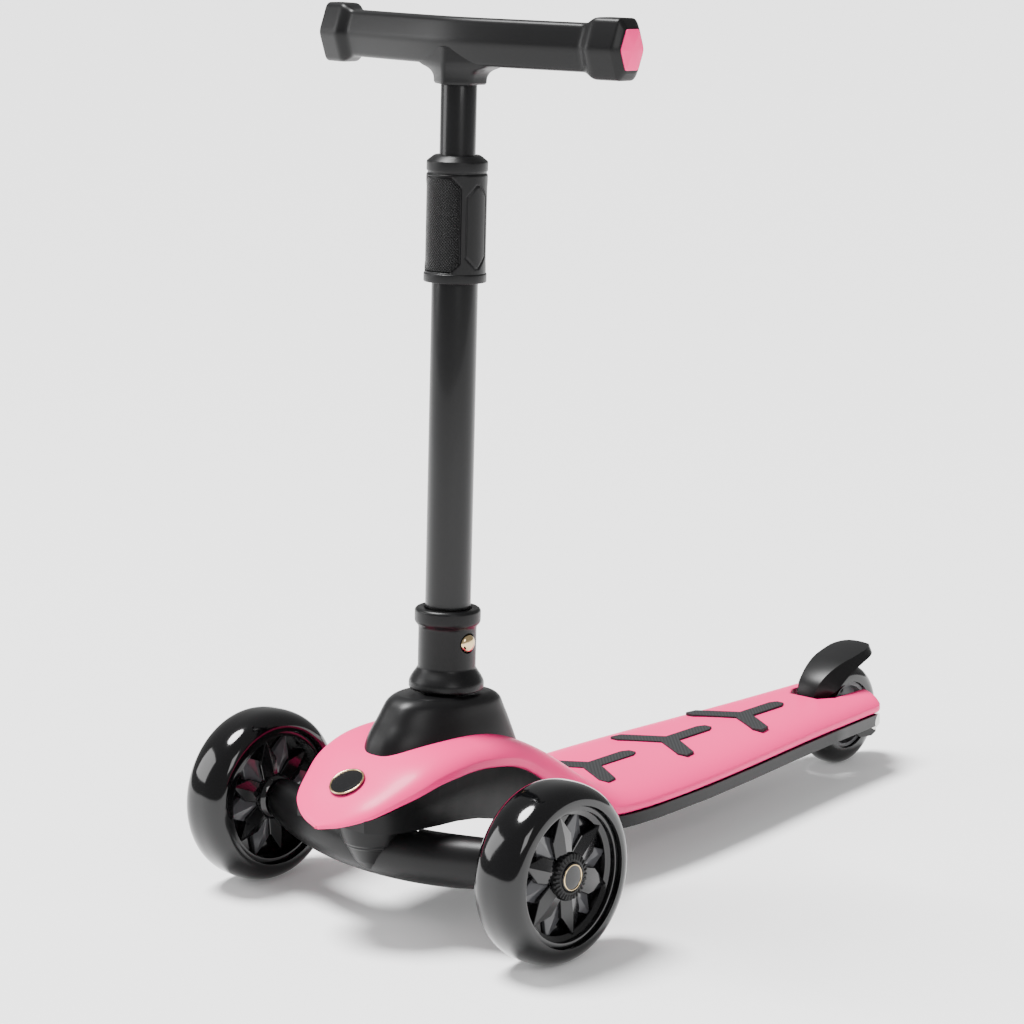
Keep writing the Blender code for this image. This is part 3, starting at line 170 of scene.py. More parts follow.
# ---- numbers and curves ------------------------------------------------------------------------
def curve_through(points, where):
    """Monotone cubic through (place, value) points: each slope is the harmonic mean of its neighbours."""
    places, values = np.array(points, dtype=float).T
    steps = np.diff(places)
    slopes = np.diff(values) / steps
    same_way = slopes[:-1] * slopes[1:] > 0
    total = np.where(same_way, slopes[:-1] + slopes[1:], 1.0)
    inner = np.where(same_way, 2.0 * slopes[:-1] * slopes[1:] / total, 0.0)
    tangents = np.concatenate([[slopes[0]], inner, [slopes[-1]]])
    where = np.clip(np.asarray(where, dtype=float), places[0], places[-1])
    cell = np.clip(np.searchsorted(places, where, side="right") - 1, 0, len(steps) - 1)
    t = (where - places[cell]) / steps[cell]
    start = (1 + 2 * t) * (1 - t) ** 2 * values[cell] + t * (1 - t) ** 2 * steps[cell] * tangents[cell]
    end = t * t * (3 - 2 * t) * values[cell + 1]
    return start + end + t * t * (t - 1) * steps[cell] * tangents[cell + 1]


def soften(values, reach):
    """Average of each value with its neighbours within reach, the ends held."""
    window = np.hanning(2 * reach + 3)[1:-1]
    padded = np.concatenate([2 * values[0] - values[reach:0:-1], values,
                             2 * values[-1] - values[-2:-reach - 2:-1]])
    return np.convolve(padded, window / window.sum(), mode="valid")


def smoothstep(low, high, value):
    t = np.clip((value - low) / (high - low), 0.0, 1.0)
    return t * t * (3 - 2 * t)


def signed_power(value, exponent):
    return np.sign(value) * np.abs(value) ** exponent


def rounded(corners, radius, steps=5):
    """Open outline with each inner corner replaced by an arc, given as points (a, b)."""
    corners = np.asarray(corners, dtype=float)
    out = [corners[:1]]
    for before, corner, after in zip(corners, corners[1:], corners[2:]):
        to_before, to_after = before - corner, after - corner
        reach = min(radius, 0.45 * np.linalg.norm(to_before), 0.45 * np.linalg.norm(to_after))
        a = corner + to_before / np.linalg.norm(to_before) * reach
        b = corner + to_after / np.linalg.norm(to_after) * reach
        t = np.linspace(0, 1, steps)[:, None]
        out.append((1 - t) ** 2 * a + 2 * t * (1 - t) * corner + t ** 2 * b)
    out.append(corners[-1:])
    return np.concatenate(out)


# ---- surfaces ----------------------------------------------------------------------------------
def turned(profile, segments=96):
    """Grid of a turned surface: the point (r, h) of the profile at angle a lies at (r cos a, r sin a, h)."""
    angles = np.linspace(0, 2 * np.pi, segments + 1)
    r, h = np.asarray(profile, dtype=float).T
    return np.stack([np.outer(r, np.cos(angles)), np.outer(r, np.sin(angles)),
                     np.repeat(h[:, None], segments + 1, axis=1)], axis=-1)


def capped(grid):
    """The grid with both end rows drawn in to their middles, which closes them."""
    first = np.repeat(grid[:1].mean(axis=1, keepdims=True), grid.shape[1], axis=1)
    last = np.repeat(grid[-1:].mean(axis=1, keepdims=True), grid.shape[1], axis=1)
    return np.concatenate([first, grid, last])


def rod(x, radii, y, z):
    """Closed rod along X, its radius given at each place, on the line through (y, z)."""
    a = np.linspace(0, 2 * np.pi, 33)
    return capped(np.stack([np.repeat(x[:, None], 33, 1), y + np.outer(radii, np.cos(a)),
                            z + np.outer(radii, np.sin(a))], -1))


def mapped(grid, matrix):
    m = np.array(matrix)
    return grid @ m[:3, :3].T + m[:3, 3]


def grid_mesh(name, grids, matrix=None):
    """One mesh of several grids of points, with the place of each point on its grid as UVs; close_up welds
    them where they meet and turns the faces outward.
    """
    points, quads, places = [], [], []
    offset = 0
    for grid in grids:
        rows, cols = grid.shape[:2]
        index = np.arange(rows * cols).reshape(rows, cols) + offset
        quads.append(np.stack([index[:-1, :-1], index[:-1, 1:], index[1:, 1:], index[1:, :-1]],
                              -1).reshape(-1, 4))
        points.append(grid.reshape(-1, 3))
        u, v = np.meshgrid(np.linspace(0, 1, cols), np.linspace(0, 1, rows))
        places.append(np.stack([u, v], -1).reshape(-1, 2))
        offset += rows * cols
    points, quads, places = (np.concatenate(part) for part in (points, quads, places))
    if matrix is not None:
        points = mapped(points, matrix)
    mesh = bpy.data.meshes.new(name)
    mesh.from_pydata(points, [], quads.tolist())
    layer = mesh.uv_layers.new(name="surface")
    layer.data.foreach_set("uv", places[quads.reshape(-1)].reshape(-1))
    return mesh


def close_up(mesh):
    """Weld the seams and poles, drop empty faces and turn the rest outward."""
    bm = bmesh.new()
    bm.from_mesh(mesh)
    bmesh.ops.remove_doubles(bm, verts=bm.verts, dist=2e-6)
    bmesh.ops.dissolve_degenerate(bm, edges=bm.edges, dist=1e-7)
    bmesh.ops.recalc_face_normals(bm, faces=bm.faces)
    bm.to_mesh(mesh)
    bm.free()


def piece(name, mesh, material, body, replaces=(), sharp=30.0):
    """A finished piece: its mesh shaded smooth up to the sharp angle, on its body, in its nodes' place."""
    mesh.materials.clear()
    mesh.materials.append(material)
    mesh.shade_smooth()
    mesh.set_sharp_from_angle(angle=math.radians(sharp))
    obj = bpy.data.objects.new(name, mesh)
    bpy.context.scene.collection.objects.link(obj)
    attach(obj, body)
    if replaces:
        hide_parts(*replaces)
    return obj


def surface(name, grids, material, body, replaces=(), matrix=None, sharp=30.0):
    mesh = grid_mesh(name, grids, matrix)
    close_up(mesh)
    return piece(name, mesh, material, body, replaces, sharp)


def soft_edges(obj, width, degrees):
    """Bevel that rounds the edges turning by more than the angle."""
    bevel = obj.modifiers.new("Rounded edges", "BEVEL")
    bevel.width = width
    bevel.segments = 2
    bevel.limit_method = "ANGLE"
    bevel.angle_limit = math.radians(degrees)
    return bevel


def refined(name, node, material, edge=0.0):
    """A copy of a frame node with its triangles welded, flat faces joined and its edges rounded."""
    mesh = frame["nodes"][node].data.copy()
    bm = bmesh.new()
    bm.from_mesh(mesh)
    bmesh.ops.remove_doubles(bm, verts=bm.verts, dist=4e-6)
    bmesh.ops.dissolve_limit(bm, angle_limit=math.radians(0.6), verts=bm.verts, edges=bm.edges)
    bm.to_mesh(mesh)
    bm.free()
    body = frame["nodes"][node]["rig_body"]
    obj = piece(name, mesh, material, body, (node,), 32)
    if edge:
        soft_edges(obj, edge, 24).harden_normals = True


def cut(obj, tool):
    """Cut a closed tool mesh out of a piece, and apply the result to its mesh."""
    cutter = bpy.data.objects.new("tool", tool)
    bpy.context.scene.collection.objects.link(cutter)
    hole = obj.modifiers.new("Cut", "BOOLEAN")
    hole.operation = "DIFFERENCE"
    hole.object = cutter
    graph = bpy.context.evaluated_depsgraph_get()
    result = bpy.data.meshes.new_from_object(obj.evaluated_get(graph))
    obj.modifiers.clear()
    obj.data = result
    bpy.data.objects.remove(cutter)


# ---- material building -------------------------------------------------------------------------
def add(tree, kind, values=(), **settings):
    """A new shader node; a value given as (node, output) becomes a link from that output."""
    node = tree.nodes.new(kind)
    for key, value in settings.items():
        setattr(node, key, value)
    for socket, value in dict(values).items():
        if isinstance(value, tuple) and isinstance(value[0], bpy.types.Node):
            join(tree, *value, node, socket)
        else:
            node.inputs[socket].default_value = value
    return node


def maths(tree, operation, *values, **settings):
    return add(tree, "ShaderNodeMath", dict(enumerate(values)), operation=operation, **settings)


def join(tree, source, output, target, socket):
    tree.links.new(source.outputs[output], target.inputs[socket])


def new_group(name, inputs, outputs):
    """Shader node group with named sockets: (name, kind, default)."""
    group = bpy.data.node_groups.new(name, "ShaderNodeTree")
    for label, kind, value in inputs:
        socket = group.interface.new_socket(label, in_out="INPUT", socket_type=kind)
        socket.default_value = value
    for label, kind in outputs:
        group.interface.new_socket(label, in_out="OUTPUT", socket_type=kind)
    group.nodes.new("NodeGroupInput")
    group.nodes.new("NodeGroupOutput")
    return group


def moulding_group():
    """Moulded plastic: a fine grain in the height, broad clouding in colour and roughness, and
    sparse rubbed specks that lift the roughness."""
    name = "Moulding"
    if name in bpy.data.node_groups:
        return bpy.data.node_groups[name]
    number, shade = "NodeSocketFloat", "NodeSocketColor"
    g = new_group(name, [("Colour", shade, (0.5, 0.5, 0.5, 1)), ("Cloud", number, 0.06),
                         ("Grain Size", number, 1400.0), ("Roughness", number, 0.4),
                         ("Spread", number, 0.06), ("Rubbing", number, 0.1)],
                  [("Colour", shade), ("Roughness", number), ("Height", number)])
    source, sink = g.nodes["Group Input"], g.nodes["Group Output"]
    place = (add(g, "ShaderNodeTexCoord"), "Object")
    grain = add(g, "ShaderNodeTexNoise", {"Vector": place, "Scale": (source, "Grain Size"),
                                          "Detail": 2.0})
    broad = add(g, "ShaderNodeTexNoise", {"Vector": place, "Scale": 14.0, "Detail": 4.0})
    specks = add(g, "ShaderNodeTexNoise", {"Vector": place, "Scale": 210.0, "Detail": 6.0,
                                           "Roughness": 0.7})
    rubbed = add(g, "ShaderNodeMapRange", {"Value": (specks, "Fac"), "From Min": 0.60,
                                           "From Max": 0.74, "To Min": 0.0, "To Max": 1.0})
    amount = maths(g, "MULTIPLY", (rubbed, "Result"), (source, "Rubbing"))
    offset = maths(g, "SUBTRACT", (broad, "Fac"), 0.5)
    spread = maths(g, "MULTIPLY_ADD", (offset, 0), (source, "Spread"), (source, "Roughness"))
    total = maths(g, "ADD", (spread, 0), (amount, 0), use_clamp=True)
    lift = maths(g, "MULTIPLY_ADD", (offset, 0), (source, "Cloud"), 1.0)
    tint = add(g, "ShaderNodeVectorMath", {0: (source, "Colour"), "Scale": (lift, 0)},
               operation="SCALE")
    join(g, grain, "Fac", sink, "Height")
    join(g, total, 0, sink, "Roughness")
    join(g, tint, 0, sink, "Colour")
    return g


def moulded(name, rgb, roughness, grain=1400.0, bump=0.00002, cloud=0.25, spread=0.08,
            rubbing=0.06, coat=0.0, metallic=0.0, specular=0.20):
    """Material of one moulded or coated finish, made with the Moulding group."""
    if name in bpy.data.materials:
        return bpy.data.materials[name]
    mat = bpy.data.materials.new(name)
    mat.use_nodes = True
    tree = mat.node_tree
    shader = tree.nodes["Principled BSDF"]
    shader.inputs["Metallic"].default_value = metallic
    shader.inputs["Coat Weight"].default_value = coat
    shader.inputs["Coat Roughness"].default_value = 0.08
    shader.inputs["Specular IOR Level"].default_value = specular
    group = add(tree, "ShaderNodeGroup")
    group.node_tree = moulding_group()
    group.name = "Moulding"
    for socket, value in {"Colour": (*rgb, 1.0), "Cloud": cloud, "Grain Size": grain,
                          "Roughness": roughness, "Spread": spread, "Rubbing": rubbing}.items():
        group.inputs[socket].default_value = value
    relief = add(tree, "ShaderNodeBump", {"Strength": 1.0, "Distance": bump,
                                          "Height": (group, "Height")})
    relief.name = "Relief"
    join(tree, group, "Colour", shader, "Base Color")
    join(tree, group, "Roughness", shader, "Roughness")
    join(tree, relief, "Normal", shader, "Normal")
    mat.diffuse_color = (*rgb, 1.0)
    return mat


def overlay(tree, share, pattern):
    """Lay a pattern of heights over a share of the moulding's own grain."""
    both = maths(tree, "MULTIPLY_ADD", (tree.nodes["Moulding"], "Height"), share, pattern)
    join(tree, both, 0, tree.nodes["Relief"], "Height")


def colours():
    return bpy.context.scene.scooter_colours


def sizes():
    return bpy.context.scene.scooter_sizes


def pink():
    return moulded("Pink moulding", colours().cover, 0.36, grain=1800.0, bump=0.000012, cloud=0.05,
                   spread=0.05, rubbing=0.03, coat=0.03)


def satin_black():
    return moulded("Satin black moulding", colours().plastic, 0.36, grain=1500.0, bump=0.00003)


def tube_black():
    return moulded("Black tube coating", colours().tube, 0.30, grain=2200.0, bump=0.00001, coat=0.15)


def gloss_black():
    return moulded("Gloss black moulding", colours().gloss, 0.14, bump=0.000004, coat=0.5)


def steel():
    return moulded("Zinc plated steel", (0.60, 0.60, 0.58), 0.30, metallic=1.0, cloud=0.1)


def brass():
    return moulded("Polished brass", colours().brass, 0.16, metallic=1.0, cloud=0.1, bump=0.000004)


def nylon():
    return moulded("Natural nylon", (0.58, 0.58, 0.54), 0.5)


def urethane():
    return moulded("Smoky urethane", colours().urethane, 0.10, grain=300.0, bump=0.000006,
                   cloud=0.5, spread=0.05, rubbing=0.05, coat=0.4)


# ---- deck cover and tray -----------------------------------------------------------------------
def hull_curves(y):
    """Half width, top height and edge height of the cover along y, smoothed along the length."""
    taper = DECK_END - TAIL_ROUND
    tip = NOSE_TIP
    width = curve_through(((tip, 0.002), (tip + 0.004, 0.0165), (tip + 0.009, 0.0265),
                           (tip + 0.017, 0.0362), (tip + 0.034, NOSE_HALF - 0.0122),
                           (tip + 0.054, NOSE_HALF - 0.0040), (0.005, NOSE_HALF),
                           (0.030, NOSE_HALF), (0.080, NOSE_HALF - 0.0038),
                           (0.120, NOSE_HALF - 0.0030), (HEEL, DECK_HALF - 0.0015),
                           (HEEL + 0.029, DECK_HALF), (taper - 0.060, DECK_REAR_HALF + 0.0045),
                           (taper, DECK_REAR_HALF)), y)
    past = np.clip((y - taper) / TAIL_ROUND, 0.0, 1.0)
    width = width - (DECK_REAR_HALF - NOTCH_HALF) * 0.45 * (1 - np.sqrt(1 - past ** 2))
    top = curve_through(((tip, NOSE_TOP - 0.0440), (tip + 0.007, NOSE_TOP - 0.0372),
                         (tip + 0.019, NOSE_TOP - 0.0275), (tip + 0.034, NOSE_TOP - 0.0190),
                         (tip + 0.054, NOSE_TOP - 0.0080), (0.0, NOSE_TOP - 0.0015),
                         (0.022, NOSE_TOP), (0.050, NOSE_TOP - 0.0030), (0.082, NOSE_TOP - 0.0140),
                         (0.1166, AXLE_Z + 0.0332), (0.1426, DECK_TOP + 0.0125),
                         (HEEL - 0.010, DECK_TOP + 0.0030), (HEEL, DECK_TOP + 0.0006),
                         (HEEL + 0.018, DECK_TOP), (DECK_END, DECK_TOP - 0.0008)), y)
    edge = curve_through(((tip, NOSE_EDGE - 0.0285), (tip + 0.009, NOSE_EDGE - 0.0230),
                          (tip + 0.025, NOSE_EDGE - 0.0162), (tip + 0.044, NOSE_EDGE - 0.0094),
                          (tip + 0.064, NOSE_EDGE - 0.0028), (0.015, NOSE_EDGE),
                          (0.046, NOSE_EDGE - 0.0040), (0.069, NOSE_EDGE - 0.0116),
                          (0.083, NOSE_EDGE - 0.0208), (0.105, EDGE_Z + 0.0255),
                          (0.125, EDGE_Z + 0.0105), (0.147, EDGE_Z + 0.0007),
                          (HEEL, EDGE_Z), (DECK_END, EDGE_Z)), y)
    return width, soften(top, 5), soften(edge, 5)


def cover_rows():
    """Places of the cover's sections, closer at the tip and at the tail."""
    nose = NOSE_TIP + 0.030 * np.linspace(0, 1, 22, endpoint=False) ** 2
    body = np.linspace(NOSE_TIP + 0.030, DECK_END - TAIL_ROUND, 190, endpoint=False)
    tail = DECK_END - TAIL_ROUND * (1 - np.sin(np.linspace(0, np.pi / 2, 12)))
    rows = np.concatenate([nose, body, tail])
    corner = NOTCH_Y + np.array([0.0, 0.0124])
    apart = np.abs(rows[:, None] - corner[None, :]).min(axis=1) > 0.0007
    return np.sort(np.concatenate([rows[apart], corner]))


def slot_edge(y):
    """Half width of the slot at y: it opens at a slant behind the fender's prow, then runs straight."""
    return np.clip(0.0128 + (y - NOTCH_Y) * 0.62, 0.0128, NOTCH_HALF)


def cover_grid():
    """Crowned sections: across = w |sin a|^s, up = edge + (top - edge) cos a, for a from -90 to 90
    degrees, with one column held on the slot's edge.  Below the band line the side turns inward,
    and at the lip it rolls under.  Returns the left half, its count of inner columns and its places."""
    y = cover_rows()
    width, top, edge = hull_curves(y)
    top = np.maximum(top, edge + 0.0012)
    shoulder = curve_through(((0.080, NOSE_SHOULDER), (HEEL, DECK_SHOULDER)), y)[:, None]
    inner, outer = 14, np.concatenate([np.linspace(0, 0.62, 26, endpoint=False),
                                       np.linspace(0.62, 1.0, 26)])
    share = np.minimum(slot_edge(y) / width, 0.6)[:, None]
    split = np.arcsin(share ** (1 / shoulder))
    a = np.concatenate([split * np.linspace(0, 1, inner, endpoint=False),
                        split + (np.pi / 2 - split) * outer], axis=1)
    across = width[:, None] * np.sin(a) ** shoulder
    up = edge[:, None] + (top - edge)[:, None] * np.cos(a)
    s = sizes()
    rise = up - edge[:, None]
    band = np.minimum(s.band, 0.42 * (top - edge))[:, None]
    under = np.clip(band - rise, 0.0, None)
    across = across - 0.42 * (np.hypot(under, 0.0003) - 0.0003) * np.minimum(1, width / 0.03)[:, None]
    lip = np.minimum(s.lip, 0.5 * (top - edge))[:, None]
    turn = np.clip(1 - rise / lip, 0.0, 1.0)
    across = np.maximum(across - lip * (1 - np.sqrt(1 - turn ** 2)), 0.0)
    half = np.stack([across, np.repeat(y[:, None], a.shape[1], 1) + AXLE_Y, up], -1)
    low = np.repeat(half[-1:, -1:, 2:], half.shape[1], axis=1)
    plan, end = half[-1:, :, :2], half[-1:, :, 2:]
    walls = [np.concatenate([plan, end * (1 - t) + low * t], -1) for t in (0.5, 1.0)]
    return np.concatenate([half] + walls), inner, y


def slot_outline(grow, back):
    """Outline of the slot from one rear corner round its front to the other."""
    y = np.concatenate([[back], np.linspace(NOTCH_Y + 0.0140, NOTCH_Y, 6)])
    right = np.column_stack([slot_edge(y) + grow, y + AXLE_Y - grow * (y < NOTCH_Y + 0.001)])
    return np.concatenate([right * np.array([-1.0, 1.0]), right[::-1]])


class SCOOTER_OT_cover(bpy.types.Operator):
    """Pink cover: the nose, its arch down to the deck, and the deck with its rear slot"""

    bl_idname = "scooter.cover"
    bl_label = "Deck Cover"

    def execute(self, context):
        half, inner, y = cover_grid()
        start = int(np.searchsorted(y, NOTCH_Y - 1e-6))
        tip = half[:1].mean(axis=1, keepdims=True) * np.array([0.0, 1.0, 1.0])
        tip = np.repeat(tip, half.shape[1], axis=1)
        front = np.concatenate([tip, half[:start + 1]])
        rear = half[start:, inner:]
        mirror = np.array([-1.0, 1.0, 1.0])
        grids = [front, rear, front[:, ::-1] * mirror, rear[:, ::-1] * mirror]
        obj = surface("cover_surface", grids, pink(), "scooter", ("deck_cover",), sharp=38)
        shell = obj.modifiers.new("Wall", "SOLIDIFY")
        shell.thickness = sizes().wall
        shell.offset = -1.0
        inner = slot_outline(0.0, DECK_END - 0.0012)
        outer = slot_outline(0.0025, DECK_END - 0.0012)
        levels = ((inner, DECK_TOP - 0.0014), (inner, EDGE_Z), (outer, EDGE_Z),
                  (outer, DECK_TOP - 0.0030), (inner, DECK_TOP - 0.0014))
        wall = np.stack([np.column_stack([line, np.full(len(line), z)]) for line, z in levels])
        surface("cover_slot_wall", [wall], pink(), "scooter")
        return {"FINISHED"}


class SCOOTER_OT_tray(bpy.types.Operator):
    """Black tray under the cover, with its ribs, nose pocket and rear fork"""

    bl_idname = "scooter.tray"
    bl_label = "Tray"

    def execute(self, context):
        refined("tray_surface", "chassis", satin_black())
        return {"FINISHED"}


# ---- pads and badge ----------------------------------------------------------------------------
def pad_rubber():
    """Rubber with fine slanted ribs, as a height over the top of the pads."""
    if "Ribbed pad rubber" in bpy.data.materials:
        return bpy.data.materials["Ribbed pad rubber"]
    mat = moulded("Ribbed pad rubber", colours().pads, 0.72, grain=900.0, bump=0.00022, specular=0.35)
    tree = mat.node_tree
    place = (add(tree, "ShaderNodeTexCoord"), "Object")
    ribs = add(tree, "ShaderNodeTexWave", {"Vector": place, "Scale": 190.0, "Distortion": 0.0},
               wave_type="BANDS", bands_direction="DIAGONAL")
    overlay(tree, 0.25, (ribs, "Fac"))
    return mat


class SCOOTER_OT_pads(bpy.types.Operator):
    """Three Y-shaped rubber pads with softened edges"""

    bl_idname = "scooter.pads"
    bl_label = "Grip Pads"

    def execute(self, context):
        for place in ("front", "middle", "rear"):
            refined("pad_" + place, "grip_pad_" + place, pad_rubber(), edge=0.0005)
        return {"FINISHED"}


def bead_profile(radius, height, wire):
    a = np.linspace(0, 2 * np.pi, 17)
    return np.column_stack([radius + wire * np.cos(a), height + wire * np.sin(a)])


class SCOOTER_OT_badge(bpy.types.Operator):
    """Plain round badge on the nose, a domed black field in a thin brass ring"""

    bl_idname = "scooter.badge"
    bl_label = "Badge"

    def execute(self, context):
        low, high = (Vector(corner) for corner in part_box("nose_badge"))
        centre = (low + high) / 2
        reach = (high.x - low.x) / 2
        slope = math.atan2(high.z - low.z - 0.0012, high.y - low.y)
        matrix = (Matrix.Translation(centre) @ Matrix.Rotation(slope, 4, "X")
                  @ Matrix.Translation((0, 0, -0.0009)))
        a = np.linspace(np.pi / 2, 0, 14)
        dome = np.column_stack([reach * np.cos(a), 0.0009 + 0.0009 * np.sin(a)])
        profile = np.concatenate([[(0.0, 0.0), (reach, 0.0)], dome[::-1]])
        surface("badge_field", [turned(profile, 64)], gloss_black(), "scooter", ("nose_badge",), matrix)
        surface("badge_ring", [turned(bead_profile(reach - 0.0009, 0.0011, 0.0007), 64)], brass(),
                "scooter", (), matrix)
        return {"FINISHED"}


# ---- stem --------------------------------------------------------------------------------------
def stem_level(height):
    """Height over the sleeve's foot of a point at this height over the stem's foot."""
    return height - SLEEVE_RISE


STEM_FOOT = np.array([0.0, AXLE_Y + 0.0453, AXLE_Z + 0.090])
SLEEVE_RISE = float((Vector(SLEEVE_FOOT) - Vector(STEM_FOOT)).length)
TUBE_R = size("lower_tube")[0] / 2
INNER_R = size("upper_tube")[0] / 2


def housing_grid():
    """Superellipse loops, narrower in front, whose planes tip back; the top rim rolls over on a radius."""
    levels = np.concatenate([np.linspace(-0.056, -0.008, 22),
                             -0.008 + 0.006 * np.sin(np.linspace(0, np.pi / 2, 9))[1:]])
    inset = np.concatenate([np.zeros(22), 0.006 * (1 - np.cos(np.linspace(0, np.pi / 2, 9)))[1:]])
    front = curve_through(((-0.060, -0.0285), (-0.034, -0.0220), (-0.012, -0.0085), (0.002, 0.0035)),
                          levels) + inset
    back = curve_through(((-0.060, 0.1080), (-0.040, 0.0985), (-0.014, 0.0865), (0.002, 0.0800)),
                         levels) - inset
    half = curve_through(((-0.060, 0.0370), (-0.030, 0.0330), (-0.012, 0.0285), (0.002, 0.0255)),
                         levels) - inset
    tip = 0.085 + 0.135 * np.clip((-0.018 - levels) / 0.040, 0.0, 1.0)
    a = np.linspace(0, 2 * np.pi, 145)
    along = signed_power(np.sin(a), 0.62)
    x = half[:, None] * signed_power(np.cos(a), 0.62) * (1 - 0.38 * np.minimum(along, 0.0) ** 2)
    reach = ((back - front) / 2)[:, None] * along
    y = ((front + back) / 2)[:, None] + reach
    z = AXLE_Z + 0.090 + levels[:, None] - tip[:, None] * reach
    return np.stack([x, y + AXLE_Y, z], -1)


class SCOOTER_OT_housing(bpy.types.Operator):
    """Tapered housing that carries the stem, with a rolled top rim"""

    bl_idname = "scooter.housing"
    bl_label = "Stem Housing"

    def execute(self, context):
        surface("housing_surface", [capped(housing_grid())], satin_black(), "scooter",
                ("stem_housing",), sharp=40)
        return {"FINISHED"}


class SCOOTER_OT_socket(bpy.types.Operator):
    """Socket collar with its base ring and lip, and the domed release button"""

    bl_idname = "scooter.socket"
    bl_label = "Socket and Button"

    def execute(self, context):
        r = TUBE_R + 0.00415
        flare, lip, bore = r + 0.0058, r + 0.0027, TUBE_R + 0.0003
        corners = [(bore, 0.0), (flare, 0.0), (flare, 0.0050), (flare - 0.0018, 0.0085),
                   (r + 0.0012, 0.0125), (r, 0.0145), (r, 0.0425), (lip, 0.0455), (lip, 0.0535),
                   (lip - 0.0015, 0.055), (bore, 0.055), (bore, 0.0)]
        profile = rounded(corners, 0.0016, 6)
        profile[:, 1] += stem_level(0.0)
        collar = surface("socket_surface", [turned(profile, 128)], satin_black(), "scooter",
                         ("socket_collar",), STEM, 45)
        button = (STEM @ Matrix.Translation((0, 0, stem_level(0.033)))
                  @ Matrix.Rotation(math.pi / 2, 4, "Y"))
        a = np.linspace(np.pi / 2, 0, 12)
        hole = np.column_stack([[0.0, 0.0069, 0.0069, 0.0], [r - 0.004, r - 0.004, 0.04, 0.04]])
        tool = grid_mesh("button hole", [turned(hole, 48)], button)
        close_up(tool)
        cut(collar, tool)
        collar.data.set_sharp_from_angle(angle=math.radians(40))
        dome = np.column_stack([0.0062 * np.cos(a), r - 0.0010 + 0.0032 * np.sin(a)])
        profile = np.concatenate([[(0.0, 0.0105), (0.0062, 0.0105)], dome[::-1]])
        surface("button_surface", [turned(profile, 64)], brass(), "button", ("release_button",), button)
        return {"FINISHED"}


class SCOOTER_OT_tubes(bpy.types.Operator):
    """Outer and inner tubes of the stem"""

    bl_idname = "scooter.tubes"
    bl_label = "Stem Tubes"

    def execute(self, context):
        for name, node, radius, wall, low, high, body in (
                ("outer_tube", "lower_tube", TUBE_R, 0.002, -0.026, SLEEVE_RISE + 0.052, "scooter"),
                ("inner_tube", "upper_tube", INNER_R, 0.0015, 0.100, SLEEVE_RISE + 0.148, "upper_stem")):
            corners = [(radius - wall, low), (radius, low), (radius, high), (radius - wall, high),
                       (radius - wall, low)]
            profile = rounded(corners, 0.0004, 3)
            profile[:, 1] += stem_level(0.0)
            surface(name + "_surface", [turned(profile, 96)], tube_black(), body, (node,), STEM, 40)
        return {"FINISHED"}


def sleeve_black():
    """Black plastic with raised diamonds in the knurled panels, set out by the
    surface's own angle (across) and height (up)."""
    if "Knurled black moulding" in bpy.data.materials:
        return bpy.data.materials["Knurled black moulding"]
    mat = moulded("Knurled black moulding", colours().plastic, 0.38, bump=0.0012)
    tree = mat.node_tree
    place = add(tree, "ShaderNodeUVMap", uv_map="panel")
    split = add(tree, "ShaderNodeSeparateXYZ", {"Vector": (place, "UV")})
    waves = []
    for sign in (1.0, -1.0):
        slant = maths(tree, "MULTIPLY_ADD", (split, "Y"), sign, (split, "X"))
        phase = maths(tree, "MULTIPLY", (slant, 0), math.pi / sizes().knurl)
        wave = maths(tree, "SINE", (phase, 0))
        waves.append((maths(tree, "ABSOLUTE", (wave, 0)), 0))
    lowest = maths(tree, "MINIMUM", *waves)
    mask = add(tree, "ShaderNodeAttribute", attribute_name="knurl")
    relief = maths(tree, "MULTIPLY", (lowest, 0), (mask, "Fac"))
    overlay(tree, 0.04, (relief, 0))
    return mat


